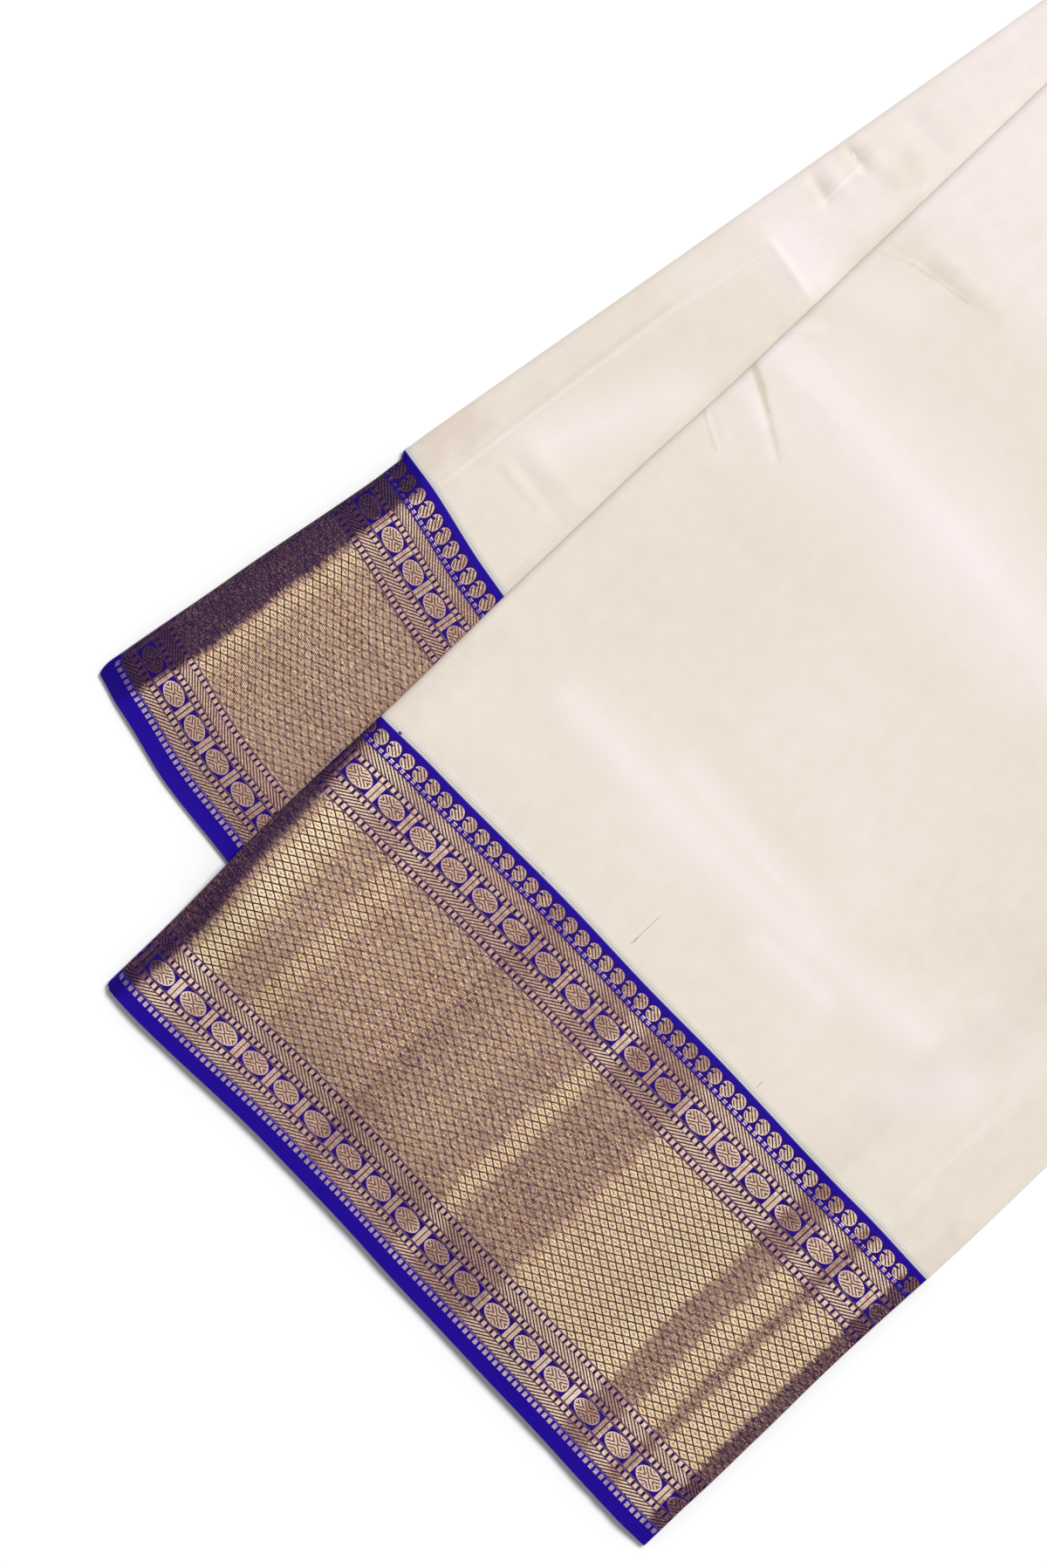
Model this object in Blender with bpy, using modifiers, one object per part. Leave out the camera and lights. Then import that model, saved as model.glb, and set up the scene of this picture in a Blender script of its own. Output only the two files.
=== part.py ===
"""A folded silk dhoti: one cloth, pleated lengthwise into a packet and turned in half, so that
its two halves lie fanned on each other with a wide woven border at the hem of each.

While it is built, x runs from the upper packet's hem to the end fold, y runs to the left of
that, the upper packet's left hem corner is at zero and the floor is at z = 0. The finished
parts are then moved so that the origin is under the middle of their footprint.
"""
import math

import bmesh
import bpy
from mathutils import Vector

COLLECTION = "dhoti_cloth"

# The packets, in metres.
PANEL_WIDTH = 0.2947
UPPER_LENGTH = 0.678
LOWER_LENGTH = 0.604
BORDER_DEPTH = 0.1475
PACKET_HEIGHT = 0.007
FAN_ANGLE = math.radians(8.48)

# Each packet is flatter at its hem: its height there as a share, and the run to full height.
UPPER_HEM_SHARE = 0.78
UPPER_HEM_RUN = 0.014
LOWER_HEM_SHARE = 0.62
LOWER_HEM_RUN = 0.024

# How far in from the hem the hidden layers start, and the lower packet's underside.
UPPER_LAYERS_START = 0.002
LOWER_LAYERS_START = 0.012
LOWER_UNDER_START = 0.012

# The cloth's wall, and the clearances between pieces.
WALL = 0.001
GAP = 0.0003
LAYER_GAP = 0.0005
CORE_INSET = WALL + LAYER_GAP
TURN_CLEAR = math.radians(2.5)

# The long edges: a roll with a soft shoulder on the left, and a stack of folds on the right.
SHOULDER = 0.012
ROLL_SHARE = 0.85
RIGHT_SLOPE = 0.015
RIGHT_SHARE = 0.66
FOLDS = 3
FOLD_NOTCH = 0.0015
FOLD_SET_BACK = 0.0015

# The way the upper packet comes down from the lower one to the floor.
DROP_RUN = 0.032
FOLD_EASE = 0.06

# Hems and border seams wave a little: (share of the width from the left, metres inwards).
UPPER_HEM = ((0.0, 0.001), (0.04, 0.00065), (0.3, 0.00385), (0.4, 0.0039), (0.57, 0.00285), (0.74, 0.0025),
             (0.95, 0.00145), (1.0, 0.0019))
UPPER_SEAM = ((0.0, -0.0006), (0.1, 0.0003), (0.35, 0.0018), (0.48, 0.0014), (0.62, 0.002), (0.82, 0.0013),
              (0.9, 0.0017), (1.0, 0.0012))
LOWER_HEM = ((0.0, 0.001), (0.06, -0.0006), (0.17, -0.0025), (0.31, -0.0005), (1.0, 0.0))
LOWER_SEAM = ((0.0, -0.0035), (0.055, -0.0032), (0.18, -0.0049), (0.25, -0.0048), (1.0, -0.003))

# Columns across each packet, and stations along it, where its surface may bend.
UPPER_COLUMNS = (0.012, 0.055, 0.1, 0.14, 0.175, 0.2, 0.22, 0.238, 0.253, 0.267, 0.2797, 0.2857, 0.2912)
LOWER_COLUMNS = (0.012, 0.05, 0.1, 0.19, 0.2797, 0.2857, 0.2912)
UPPER_STATIONS = ((0.007, 0.014, 0.024, 0.036, 0.048, 0.06, 0.074, 0.095, 0.12),
                  (0.185, 0.225, 0.265, 0.305, 0.345, 0.385, 0.425, 0.465, 0.505, 0.545, 0.59))
LOWER_STATIONS = ((0.016, 0.03, 0.08), (0.26, 0.4, 0.55))
SHARES_TO_FOLD = (0.35, 0.7)
TURN_STEPS = 3
ROLL_STEPS = 6
TURN_ROLL_SHARE = 0.6

# Looks: colour, roughness and how metallic.
CREAM = ((0.86, 0.79, 0.7), 0.55, 0.0)
BROCADE = ((0.33, 0.22, 0.2), 0.42, 0.35)
CREAM_LAYERS = ((0.8, 0.72, 0.62), 0.6, 0.0)
BLUE_LAYERS = ((0.06, 0.02, 0.3), 0.55, 0.0)

SKEW = math.tan(FAN_ANGLE / 2)
FOLD_OUT = Vector((math.cos(FAN_ANGLE / 2), -math.sin(FAN_ANGLE / 2)))
LOWER_ALONG = Vector((math.cos(FAN_ANGLE), -math.sin(FAN_ANGLE)))
LOWER_ACROSS = Vector((-math.sin(FAN_ANGLE), -math.cos(FAN_ANGLE)))
LOWER_CORNER = Vector((UPPER_LENGTH, 0.0)) - LOWER_LENGTH * LOWER_ALONG


def ease(share):
    """A share from 0 to 1 that starts and ends gently."""
    share = min(max(share, 0.0), 1.0)
    return share * share * (3 - 2 * share)


def wave(table, share):
    """A gentle wave through a table's places."""
    for (start, low), (end, high) in zip(table, table[1:]):
        if share <= end:
            return low + (high - low) * ease((share - start) / (end - start))
    return table[-1][1]


def fold_foot(across):
    """Where a place across the panel meets the end fold's line."""
    return Vector((UPPER_LENGTH - across * SKEW, -across))


def bed_height(place):
    """How high the upper packet's underside lies: on the lower packet, or down on the floor."""
    offset = place - LOWER_CORNER
    past_hem = -offset.dot(LOWER_ALONG)
    past_side = offset.dot(LOWER_ACROSS) - PANEL_WIDTH
    carried = ease(1 - past_hem / DROP_RUN) * ease(1 - past_side / DROP_RUN)
    from_fold = (fold_foot(0.0) - place).dot(FOLD_OUT)
    near_fold = ease(1 - from_fold / FOLD_EASE)
    return PACKET_HEIGHT * (carried + (1 - carried) * near_fold)


def turn_point(angle, across, radius):
    """A place in the end fold, at an angle from the top of the turn."""
    place = fold_foot(across) + FOLD_OUT * radius * math.sin(angle)
    return Vector((place.x, place.y, PACKET_HEIGHT + radius * math.cos(angle)))


class Packet:
    """One half of the folded cloth. A place in it is given by how far it is from the hem, how
    far from the left side, and its height."""

    def end(self, across):
        """How far the end fold is from the hem."""
        return self.length + across * self.lean

    def height(self, along):
        """The stack's height, which is less towards the hem."""
        rise = ease(along / self.hem_run)
        return self.full_height * (self.hem_share + (1 - self.hem_share) * rise)


class UpperPacket(Packet):
    """The upper half, which lies on the lower one and comes down to the floor beside it."""

    name = "upper"
    length = UPPER_LENGTH
    lean = -SKEW
    full_height = PACKET_HEIGHT
    hem_share = UPPER_HEM_SHARE
    hem_run = UPPER_HEM_RUN
    hem_wave = UPPER_HEM
    seam_wave = UPPER_SEAM
    layers_start = UPPER_LAYERS_START
    under_start = 0.0
    columns = UPPER_COLUMNS
    border_stations, body_stations = UPPER_STATIONS

    def point(self, along, across, height):
        """A place in the packet, with its height from the packet's own underside."""
        place = Vector((along, -across))
        return Vector((place.x, place.y, bed_height(place) + height))

    def turned(self, angle, across, height):
        """A place past the end, at an angle into the end fold from the packet's own side."""
        return turn_point(angle, across, height)


class LowerPacket(Packet):
    """The lower half, which lies on the floor."""

    name = "lower"
    length = LOWER_LENGTH
    lean = SKEW
    full_height = PACKET_HEIGHT - GAP
    hem_share = LOWER_HEM_SHARE
    hem_run = LOWER_HEM_RUN
    hem_wave = LOWER_HEM
    seam_wave = LOWER_SEAM
    layers_start = LOWER_LAYERS_START
    under_start = LOWER_UNDER_START
    columns = LOWER_COLUMNS
    border_stations, body_stations = LOWER_STATIONS

    def point(self, along, across, height):
        """A place in the packet, with its height from the floor."""
        place = LOWER_CORNER + along * LOWER_ALONG + across * LOWER_ACROSS
        return Vector((place.x, place.y, height))

    def turned(self, angle, across, height):
        """A place past the end, at an angle into the end fold from the packet's own side."""
        return turn_point(math.pi - angle, across, PACKET_HEIGHT - height)


def top_share(across):
    """How high the top ply stands across the panel, as a share of the packet's height."""
    if across < SHOULDER:
        return ROLL_SHARE + (1 - ROLL_SHARE) * ease(across / SHOULDER)
    slope = max(0.0, (across - PANEL_WIDTH + RIGHT_SLOPE) / RIGHT_SLOPE)
    return 1 - (1 - RIGHT_SHARE) * (1 - math.cos(slope * math.pi / 2))


def roll_points(height, turn=1.0):
    """The outer ply round the left roll, from its top down, as (across, height)."""
    radius = ROLL_SHARE * height / 2
    angles = [math.pi * turn * i / ROLL_STEPS for i in range(ROLL_STEPS + 1)]
    return [(radius * (1 - math.sin(a)), radius * (1 + math.cos(a))) for a in angles]


def top_path(height, columns):
    """The outer ply over the top of a packet, from right to left, as (across, height)."""
    return [(across, height * top_share(across)) for across in (PANEL_WIDTH,) + columns[::-1]]


def under_path(columns):
    """The outer ply under a packet, from left to right, as (across, height)."""
    return [(across, 0.0) for across in columns + (PANEL_WIDTH - FOLD_SET_BACK,)]


def core_section(height, columns):
    """The hidden layers' closed section: top, left side, underside, and folds on the right."""
    base = CORE_INSET
    top = [(across, height * top_share(across) - CORE_INSET) for across in columns[::-1]]
    floor = [(across, base) for across in columns]
    left = []
    right = []
    for step in range(1, 2 * FOLDS):
        level = step / (2 * FOLDS)
        bulge = math.sqrt(1 - (2 * level - 1) ** 2)
        notch = FOLD_NOTCH * (1 - step % 2)
        left.append((SHOULDER - (SHOULDER - 2 * CORE_INSET) * bulge,
                     base + level * (top[-1][1] - base)))
        right.append((PANEL_WIDTH - FOLD_SET_BACK - notch, base + level * (top[0][1] - base)))
    return top + left[::-1] + floor + right


def new_object(name, shape, look):
    """Turns a bmesh into a named object in the collection, with its own material."""
    bmesh.ops.recalc_face_normals(shape, faces=shape.faces)
    mesh = bpy.data.meshes.new(name)
    shape.to_mesh(mesh)
    shape.free()
    colour, roughness, metallic = look
    material = bpy.data.materials.new(name)
    material.use_nodes = True
    shader = material.node_tree.nodes["Principled BSDF"]
    shader.inputs["Base Color"].default_value = (*colour, 1.0)
    shader.inputs["Roughness"].default_value = roughness
    shader.inputs["Metallic"].default_value = metallic
    mesh.materials.append(material)
    made = bpy.data.objects.new(name, mesh)
    bpy.data.collections[COLLECTION].objects.link(made)
    return made


def skin_rows(shape, rows, closed):
    """Lofts rows of points, each four split the same way, so that nested lofts stay clear."""
    grid = [[shape.verts.new(point) for point in row] for row in rows]
    count = len(grid[0])
    for near, far in zip(grid, grid[1:]):
        for i in range(count if closed else count - 1):
            j = (i + 1) % count
            shape.faces.new((near[i], far[i], far[j]))
            shape.faces.new((near[i], far[j], near[j]))
    return grid


def add_wall(name, rows, look):
    """A cloth wall: an open loft through rows of points, thickened inwards."""
    shape = bmesh.new()
    skin_rows(shape, rows, closed=False)
    made = new_object(name, shape, look)
    if made.data.polygons[0].normal.z < 0:
        made.data.flip_normals()
    thick = made.modifiers.new("Thickness", "SOLIDIFY")
    thick.thickness = WALL
    thick.offset = -1.0
    thick.use_even_offset = True


def add_layers(name, sections, look, stepped):
    """Hidden layers: a closed loft through sections, its hem closed level by level if stepped."""
    shape = bmesh.new()
    rings = skin_rows(shape, sections, closed=True)
    shape.faces.new(rings[-1])
    if stepped:
        cap_by_level(shape, rings[0])
    else:
        shape.faces.new(rings[0])
    new_object(name, shape, look)


def side_levels(ring):
    """The left and right sides of a hidden section's ring, each from the floor up."""
    levels = 2 * FOLDS - 1
    row = (len(ring) - 2 * levels) // 2
    return ring[row:row + levels][::-1], ring[len(ring) - levels:]


def cap_by_level(shape, ring):
    """Closes the hem's ring with a strip for each level between its two sides."""
    left, right = side_levels(ring)
    row = len(ring) // 2 - len(left)
    shape.faces.new(ring[:row] + [left[-1], right[-1]])
    for i in range(len(left) - 1):
        shape.faces.new((left[i], left[i + 1], right[i + 1], right[i]))
    shape.faces.new([left[0]] + ring[row + len(left):2 * row + len(left)] + [right[0]])


def step_hem(section):
    """Sets every other level of a hem's section back, so that its layers show."""
    for side in side_levels(section):
        for point in side[1::2]:
            point.x += FOLD_NOTCH


def packet_wall(packet, name, curves, look, under_start=0.0):
    """The outer ply of one stretch of a packet: over the top, round the roll and underneath.

    Each curve gives the distance from the hem at a place across the panel.
    """
    rows = []
    for curve in curves:
        height = packet.height(curve(0.0))
        path = top_path(height, packet.columns) + roll_points(height)
        row = [packet.point(curve(w), w, h) for w, h in path]
        row += [packet.point(max(curve(w), under_start), w, h)
                for w, h in under_path(packet.columns)]
        rows.append(row)
    add_wall(name, rows, look)


def straight(stations):
    """Straight lines across the panel, at these distances from the hem."""
    return [lambda w, station=station: station for station in stations]


def towards(station, end):
    """Lines across the panel that turn from a straight one to the end fold's."""
    return [lambda w, share=share: station + share * (end(w) - station)
            for share in SHARES_TO_FOLD]


def packet_layers(packet, name, curves, look, stepped=False, turn=()):
    """The hidden layers of a stretch. The turn's angles carry them on into the end fold."""
    sections = []
    for curve in curves:
        section = core_section(packet.height(curve(0.0)), packet.columns)
        sections.append([packet.point(curve(w), w, h) for w, h in section])
    for angle in turn:
        section = core_section(packet.full_height, packet.columns)
        sections.append([packet.turned(angle, w, h) for w, h in section])
    if stepped:
        step_hem(sections[0])
    add_layers(name, sections, look, stepped)


def add_end_fold():
    """The outer ply round the end fold, from the top of the upper packet to the floor."""
    rows = []
    path = top_path(PACKET_HEIGHT, UPPER_COLUMNS) + roll_points(PACKET_HEIGHT, TURN_ROLL_SHARE)
    under = len(path) - ROLL_STEPS - 1
    for step in range(2 * TURN_STEPS + 1):
        angle = math.pi * step / (2 * TURN_STEPS)
        grown = ease(angle / (math.pi / 2 - 2 * TURN_CLEAR))
        row = []
        for i, (w, h) in enumerate(path):
            full = PACKET_HEIGHT if i < under else h + (1 - ROLL_SHARE) * PACKET_HEIGHT
            row.append(turn_point(angle, w, h + (full - h) * grown) + GAP * FOLD_OUT.to_3d())
        rows.append(row)
    add_wall("end_fold", rows, CREAM)


def build_packet(packet):
    """One packet's border, body and hidden layers."""
    half = GAP / 2

    def hem(w):
        return wave(packet.hem_wave, w / PANEL_WIDTH)

    def seam(w):
        return BORDER_DEPTH + wave(packet.seam_wave, w / PANEL_WIDTH)

    border_curves = straight(packet.border_stations)
    packet_wall(packet, packet.name + "_border",
                [hem] + border_curves + [lambda w: seam(w) - half], BROCADE, packet.under_start)
    packet_layers(packet, packet.name + "_border_layers",
                  straight((packet.layers_start,)) + border_curves
                  + straight((BORDER_DEPTH - half,)), BLUE_LAYERS, stepped=True)
    body_curves = straight(packet.body_stations) + towards(packet.body_stations[-1], packet.end)
    packet_wall(packet, packet.name + "_body",
                [lambda w: seam(w) + half] + body_curves + [packet.end], CREAM)
    quarter = [(math.pi / 2 - TURN_CLEAR) * i / TURN_STEPS for i in range(TURN_STEPS + 1)]
    packet_layers(packet, packet.name + "_body_layers",
                  straight((BORDER_DEPTH + half,)) + body_curves, CREAM_LAYERS, turn=quarter)


def centre_parts():
    """Moves every part so that the origin is under the middle of their footprint."""
    parts = bpy.data.collections[COLLECTION].objects
    corners = [v.co for part in parts for v in part.data.vertices]
    middle = Vector([(max(c[i] for c in corners) + min(c[i] for c in corners)) / 2
                     for i in range(2)] + [0.0])
    for part in parts:
        part.location = -middle


def main():
    for old in list(bpy.data.objects):
        bpy.data.objects.remove(old, do_unlink=True)
    made = bpy.data.collections.new(COLLECTION)
    bpy.context.scene.collection.children.link(made)
    build_packet(UpperPacket())
    build_packet(LowerPacket())
    add_end_fold()
    centre_parts()


main()
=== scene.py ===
"""A folded silk dhoti, laid flat on a pale table.

One long cloth is pleated lengthwise into twelve plies and turned in half, so that its two
halves, the packets, lie fanned on each other. A wide woven border runs along both long edges
of the cloth, and shows at the hem of each packet.

A place in a packet is given by how far it is from the hem (along), how far from the left side
(across) and its ply, from 0 at the bottom to 11 at the top. Sizes are in metres. The names of
those in millimetres end in _MM, or the comment on their table says so.
"""
import math
from functools import partialmethod

import bpy
import numpy as np
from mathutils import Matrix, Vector


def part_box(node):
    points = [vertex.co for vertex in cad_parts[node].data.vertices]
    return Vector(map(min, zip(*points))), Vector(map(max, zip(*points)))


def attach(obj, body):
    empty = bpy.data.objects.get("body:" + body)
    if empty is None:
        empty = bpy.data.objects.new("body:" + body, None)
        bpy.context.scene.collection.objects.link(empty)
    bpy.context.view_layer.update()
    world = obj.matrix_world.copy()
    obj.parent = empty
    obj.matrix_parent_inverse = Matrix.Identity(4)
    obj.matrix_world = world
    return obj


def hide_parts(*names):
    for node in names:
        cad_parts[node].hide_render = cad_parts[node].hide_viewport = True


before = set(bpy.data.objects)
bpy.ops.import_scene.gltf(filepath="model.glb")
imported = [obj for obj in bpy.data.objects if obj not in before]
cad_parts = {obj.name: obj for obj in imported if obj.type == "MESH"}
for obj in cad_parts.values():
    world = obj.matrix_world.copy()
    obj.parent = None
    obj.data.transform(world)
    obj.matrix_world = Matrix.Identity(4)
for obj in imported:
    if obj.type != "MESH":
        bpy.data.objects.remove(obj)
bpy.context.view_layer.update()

bl_info = {
    "name": "Folded Dhoti Cloth",
    "version": (1, 0, 0),
    "blender": (4, 5, 0),
    "location": "View3D > Sidebar > Dhoti",
    "description": "Makes a folded silk dhoti with woven gold borders on a pale table",
    "category": "Add Mesh",
}

# The packets.
PANEL_WIDTH = 0.2947
UPPER_LENGTH = 0.678
LOWER_LENGTH = 0.604
BORDER_DEPTH = 0.1475
PACKET_HEIGHT = 0.007
FAN_ANGLE = math.radians(8.48)
GAP = 0.0003
TOP_PLY = 11

# The long edges: a roll with a soft shoulder on the left, and rounded folds on the right.
ROLL = 0.003
ROLL_SHARE = 0.85
SHOULDER = 0.012
RIGHT_SLOPE = 0.015
RIGHT_SHARE = 0.66
TAIL = 0.012

# How far in from the sides the hidden folds lie, from the top one down.
HIDDEN_LEFT_FOLDS = (0.0065, 0.0078, 0.0060, 0.0082, 0.0070)
HIDDEN_RIGHT_FOLDS = (0.0011, 0.0003, 0.0017, 0.0006)

# How long the right folds' wobble is, how much quicker each fold's is than the one below and how
# far it is turned, what share the top and bottom folds lose of it, and how far in from the sides
# it and the bow fade away.
WOBBLE_LENGTH = 0.19
WOBBLE_QUICKER = 0.17
WOBBLE_TURN = 1.9
WOBBLE_LOSS = 0.8
WOBBLE_REACH = 0.04
SIDE_REACH = 0.08

# The way the upper packet comes down from the lower one to the table.
DROP_RUN = 0.032
FOLD_EASE = 0.06

# Hems and border seams wave a little: (share of the width from the left, metres inwards).
UPPER_HEM = ((0.0, 0.001), (0.04, 0.00065), (0.3, 0.00385), (0.4, 0.0039), (0.57, 0.00285), (0.74, 0.0025),
             (0.95, 0.00145), (1.0, 0.0019))
UPPER_SEAM = ((0.0, -0.0006), (0.1, 0.0003), (0.35, 0.0018), (0.48, 0.0014), (0.62, 0.002), (0.82, 0.0013),
              (0.9, 0.0017), (1.0, 0.0012))
LOWER_HEM = ((0.0, 0.001), (0.06, -0.0006), (0.17, -0.0025), (0.31, -0.0005), (1.0, 0.0))
LOWER_SEAM = ((0.0, -0.0035), (0.055, -0.0032), (0.18, -0.0049), (0.25, -0.0048), (1.0, -0.003))

# The long sides bow a little too: (metres from the hem, metres outwards).
UPPER_LEFT = ((0.0, -0.0001), (0.024, -0.0001), (0.1, 0.0019), (0.159, 0.0013), (0.212, 0.0017),
              (0.277, 0.0015), (0.34, 0.0001), (0.68, 0.0))
UPPER_RIGHT = ((0.0, 0.0), (0.06, 0.0), (0.09, -0.0003), (0.175, 0.0014), (0.26, 0.0016), (0.42, 0.0),
               (0.68, 0.0))
LOWER_LEFT = ((0.0, 0.0002), (0.012, -0.0006), (0.065, -0.0012), (0.128, -0.0023), (0.1415, -0.0019),
              (0.1442, 0.0003), (0.158, 0.0005), (0.29, 0.0), (0.61, 0.0))
LOWER_RIGHT = ((0.0, 0.0), (0.61, 0.0))

# The cloth is drawn a little sideways: (metres from the left, how much further right the place in
# the weave is that shows there). It leans too, by a share of the way in from the hem.
UPPER_STRAY = ((0.0, -0.0033), (0.036, -0.0035), (0.069, -0.0027), (0.085, -0.0021), (0.102, -0.0034),
               (0.119, -0.0035), (0.15, -0.0028), (0.2, -0.003), (0.234, -0.0027), (0.252, -0.0036),
               (0.2947, -0.0053))
LOWER_STRAY = ((0.0, -0.0013), (0.017, -0.0003), (0.0475, 0.0021), (0.063, 0.0028), (0.08, 0.0039),
               (0.2947, 0.0042))
UPPER_STRAY_LEAN = 0.0045
LOWER_STRAY_LEAN = 0.0124

# Where the border's rows lie from the hem to the seam: (share of the way, metres in the weave).
UPPER_ROWS = ((0.0, 0.00125), (1.0, 0.1475))
LOWER_ROWS = ((0.0, 0.0005), (0.1375, 0.02), (0.765, 0.115), (0.936, 0.14), (1.0, 0.1475))

# How far each ply's hem is set back from the top one's, from the bottom ply up.
UPPER_HEM_STEPS = (0.0024, 0.0017, 0.0029, 0.0012, 0.0022, 0.0009, 0.0026, 0.0014, 0.0019, 0.0006,
                   0.0011, 0.0)
LOWER_HEM_STEPS = (0.0120, 0.0113, 0.0106, 0.0110, 0.0094, 0.0083, 0.0088, 0.0067, 0.0052, 0.0038,
                   0.0022, 0.0)

# How far the lower plies' hems stray, how far across one radian of it is, and how much each
# ply's is turned from the one below.
HEM_STRAY = 0.0005
HEM_STRAY_RUN = 0.033
HEM_STRAY_TURN = 2.3

# Soft folds and creases of the top ply, in millimetres: where each starts and ends (along,
# across), its half width, and how far it stands up, or down where that is negative.
UPPER_FOLDS = (
    (-20, 20, 165, 20.5, 7.5, 0.35), (-20, 33, 230, 34, 5, -0.25), (-20, 47.5, 150, 48, 4.5, 0.24),
    (20, 75, 210, 76, 12, 0.18), (-20, 100, 160, 102, 4.5, -0.22), (-20, 124, 145, 125, 7, 0.22),
    (-20, 149.5, 170, 150, 3.2, 0.28), (-20, 172, 155, 172, 11, -0.35), (-20, 214, 240, 212, 20, 0.6),
    (-20, 243.5, 200, 244, 4.2, -0.5), (-20, 259, 240, 258.5, 4.2, 0.4),
    (-20, 267.3, 330, 265.5, 1.3, -0.5), (-20, 271.5, 290, 271, 1.6, 0.3),
    (-20, 275.5, 160, 275.5, 1.4, -0.25), (-20, 282, 210, 281, 4.2, 0.35), (205, 30, 209, 250, 12, 0.3),
    (243, 20, 250, 270, 20, -0.2), (355, 2, 347, 170, 11, 0.4), (375, 20, 392, 230, 16, -0.25),
    (438, 0, 447, 150, 18, 0.3), (500, 40, 515, 260, 20, -0.3), (560, 10, 560, 200, 16, 0.5),
    (341, -1, 322.2, 33, 1.8, -0.35), (333.5, 4, 327.5, 22, 4.5, 0.2), (317.5, 1, 309.8, 14.6, 1.4, -0.3),
    (406.2, 1, 412.3, 14.4, 1.4, -0.2), (412.3, 14.4, 416.3, 39, 1.4, -0.3), (421, 12, 421, 50, 4.5, 0.35),
)
LOWER_FOLDS = (
    (-20, 10, 140, 11, 6, -0.4), (-20, 24, 140, 23, 6, 0.45), (-20, 60, 150, 60, 8, -0.25),
    (148, 18.8, 262, 14.1, 1.2, 0.45), (262, 14.1, 303, 15.5, 1.2, 0.45), (303, 15, 303, 48, 1.6, 0.45),
    (148, 15.5, 262, 10.5, 2.2, -0.3), (262, 10.5, 296, 11, 2.2, -0.3), (296, 19, 296, 50, 4, -0.35),
    (176, 27, 177, 50, 3, -0.45), (184, 26, 186, 52, 4, 0.35), (330, 4, 329, 15, 2.2, -0.8),
    (336, 3, 337, 18, 3.5, 0.6), (347, 3, 348, 13.5, 1.8, -0.9), (353, 4, 356, 24, 4, 0.5),
    (331, 15, 347, 13, 1.4, 0.5), (372, 4, 376, 30, 4.5, -0.5), (420, 5, 560, 6, 5, -0.3),
)

# How far from the upper packet the lower one's folds reach their full height.
SHOWN_EASE = 0.010

# Where the sharp creases lie along each body, whose rows of points are closer there.
UPPER_CREASED = ((0.300, 0.350), (0.402, 0.424))
LOWER_CREASED = ((0.145, 0.190), (0.295, 0.360))

# How far apart the points of the meshes are, how wide the ends of a flat stretch are that have
# their own steps, and how many steps the rounded folds have.
RUN_EDGE = 0.035
RIM = 0.00015
FINE = 0.0012
BORDER_STEP = 0.00208
MIDDLE = 0.0026
WIDE = 0.0032
HIDDEN_BORDER = 0.0048
HIDDEN = 0.0060
COARSE = 0.0200
END_FOLD_STEPS = (0.0024, 0.0039, 0.0024)
ROLL_STEPS = 14
FOLD_STEPS = 6
TURN_STEPS = 7
END_STEPS = 22
END_ROLL_STEPS = 9

# The stage.
IMAGE_SIZE = (1200, 1797)
METRES_PER_PIXEL = 0.00033
LENS = 200.0
SENSOR = 36.0
FRAME_TURN = math.radians(-43.72)
FRAME_CENTRE = Vector((0.1685, -0.0545))
SHARP_HEIGHT = 0.0105
CLIP_END = 100.0
FLOOR_SIZE = 12.0
FLOOR_DROP = 0.0002
FLOOR_ROUGHNESS = 0.9
SKY_STRENGTH = 0.36
LIGHT_STRENGTH = 2.5
LIGHT_SPREAD = math.radians(20.0)
LIGHT_AZIMUTH = math.radians(42.0)
LIGHT_ELEVATION = math.radians(64.0)

# The woven border's rows, in millimetres from the hem.
BORDER_ROWS_MM = (
    (6.8, 9.3, "blocks"),
    (9.4, 9.9, "line"),
    (10.1, 13.7, "twill_up"),
    (14.2, 16.1, "squares"),
    (17.0, 24.4, "beads"),
    (25.3, 27.2, "squares"),
    (27.7, 31.9, "twill_down"),
    (32.2, 34.1, "squares"),
    (34.7, 112.3, "diamonds"),
    (112.9, 114.9, "squares"),
    (115.5, 119.2, "twill_up"),
    (119.5, 121.3, "squares"),
    (122.3, 129.8, "beads"),
    (130.3, 132.1, "squares"),
    (132.6, 137.1, "twill_down"),
    (137.9, 139.3, "pairs"),
    (139.5, 145.5, "paisleys"),
)

# How long each motif's repeat is, and its own sizes. A share is of the repeat. The paisley is two
# ovals with a bite out of them: the middle of each (across, along) and its half sizes.
BEAD_MM = 16.53
SQUARE_MM = BEAD_MM / 6
SQUARE_SHARE = 0.3
SLOT_SHARE = 0.33
SLOT_REACH_MM = 0.85
BLOCK_REACH_MM = 0.98
DIAMOND_MM = (BEAD_MM / 3, 3.45)
DIAMOND_LATTICE = 0.404
DIAMOND_CROSSING = (0.3, 0.44)
DIAMOND_DASH = (0.34, 0.17)
TWILL_MM = 2.15
TWILL_SHARE = 0.55
TWILL_LEANS = (("twill_up", 1.52), ("twill_down", -1.55))
LINE_MM = 0.69
OVAL_MM = (5.85, 3.6)
OVAL_RIM = 0.9
OVAL_HATCH_MM = 1.37
OVAL_HATCH_SLOPE = 0.62
OVAL_HATCH_SHARE = 0.56
OVAL_DOTS_MM = 3.25
BAR_MM = (0.22, 1.9)
RIB_MM = 0.66
PAISLEY_MM = 6.62
PAISLEY_PARTS_MM = ((0.1, -0.25, 2.75, 2.65), (-0.3, 0.75, 2.65, 2.05))
PAISLEY_BITE_MM = (-2.3, 1.0, 1.35, 0.5)
PAISLEY_BITE_SLOPE = 0.3
PAISLEY_RIM = 0.74
PAISLEY_HATCH_MM = 1.6
PAISLEY_HATCH_SLOPE = 0.8
PAISLEY_HATCH_SHARE = 0.6
HATCH_SHIFT_MM = 20.0
TICK_MM = 0.74
TICK_SHARE = 0.45
JOIN_MM = (0.45, 2.65)
JOIN_GAP_MM = (0.5, 0.75)
THREAD_MM = (0.46, 0.3)
PICK_MM = 0.72
END_MM = 0.7
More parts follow.
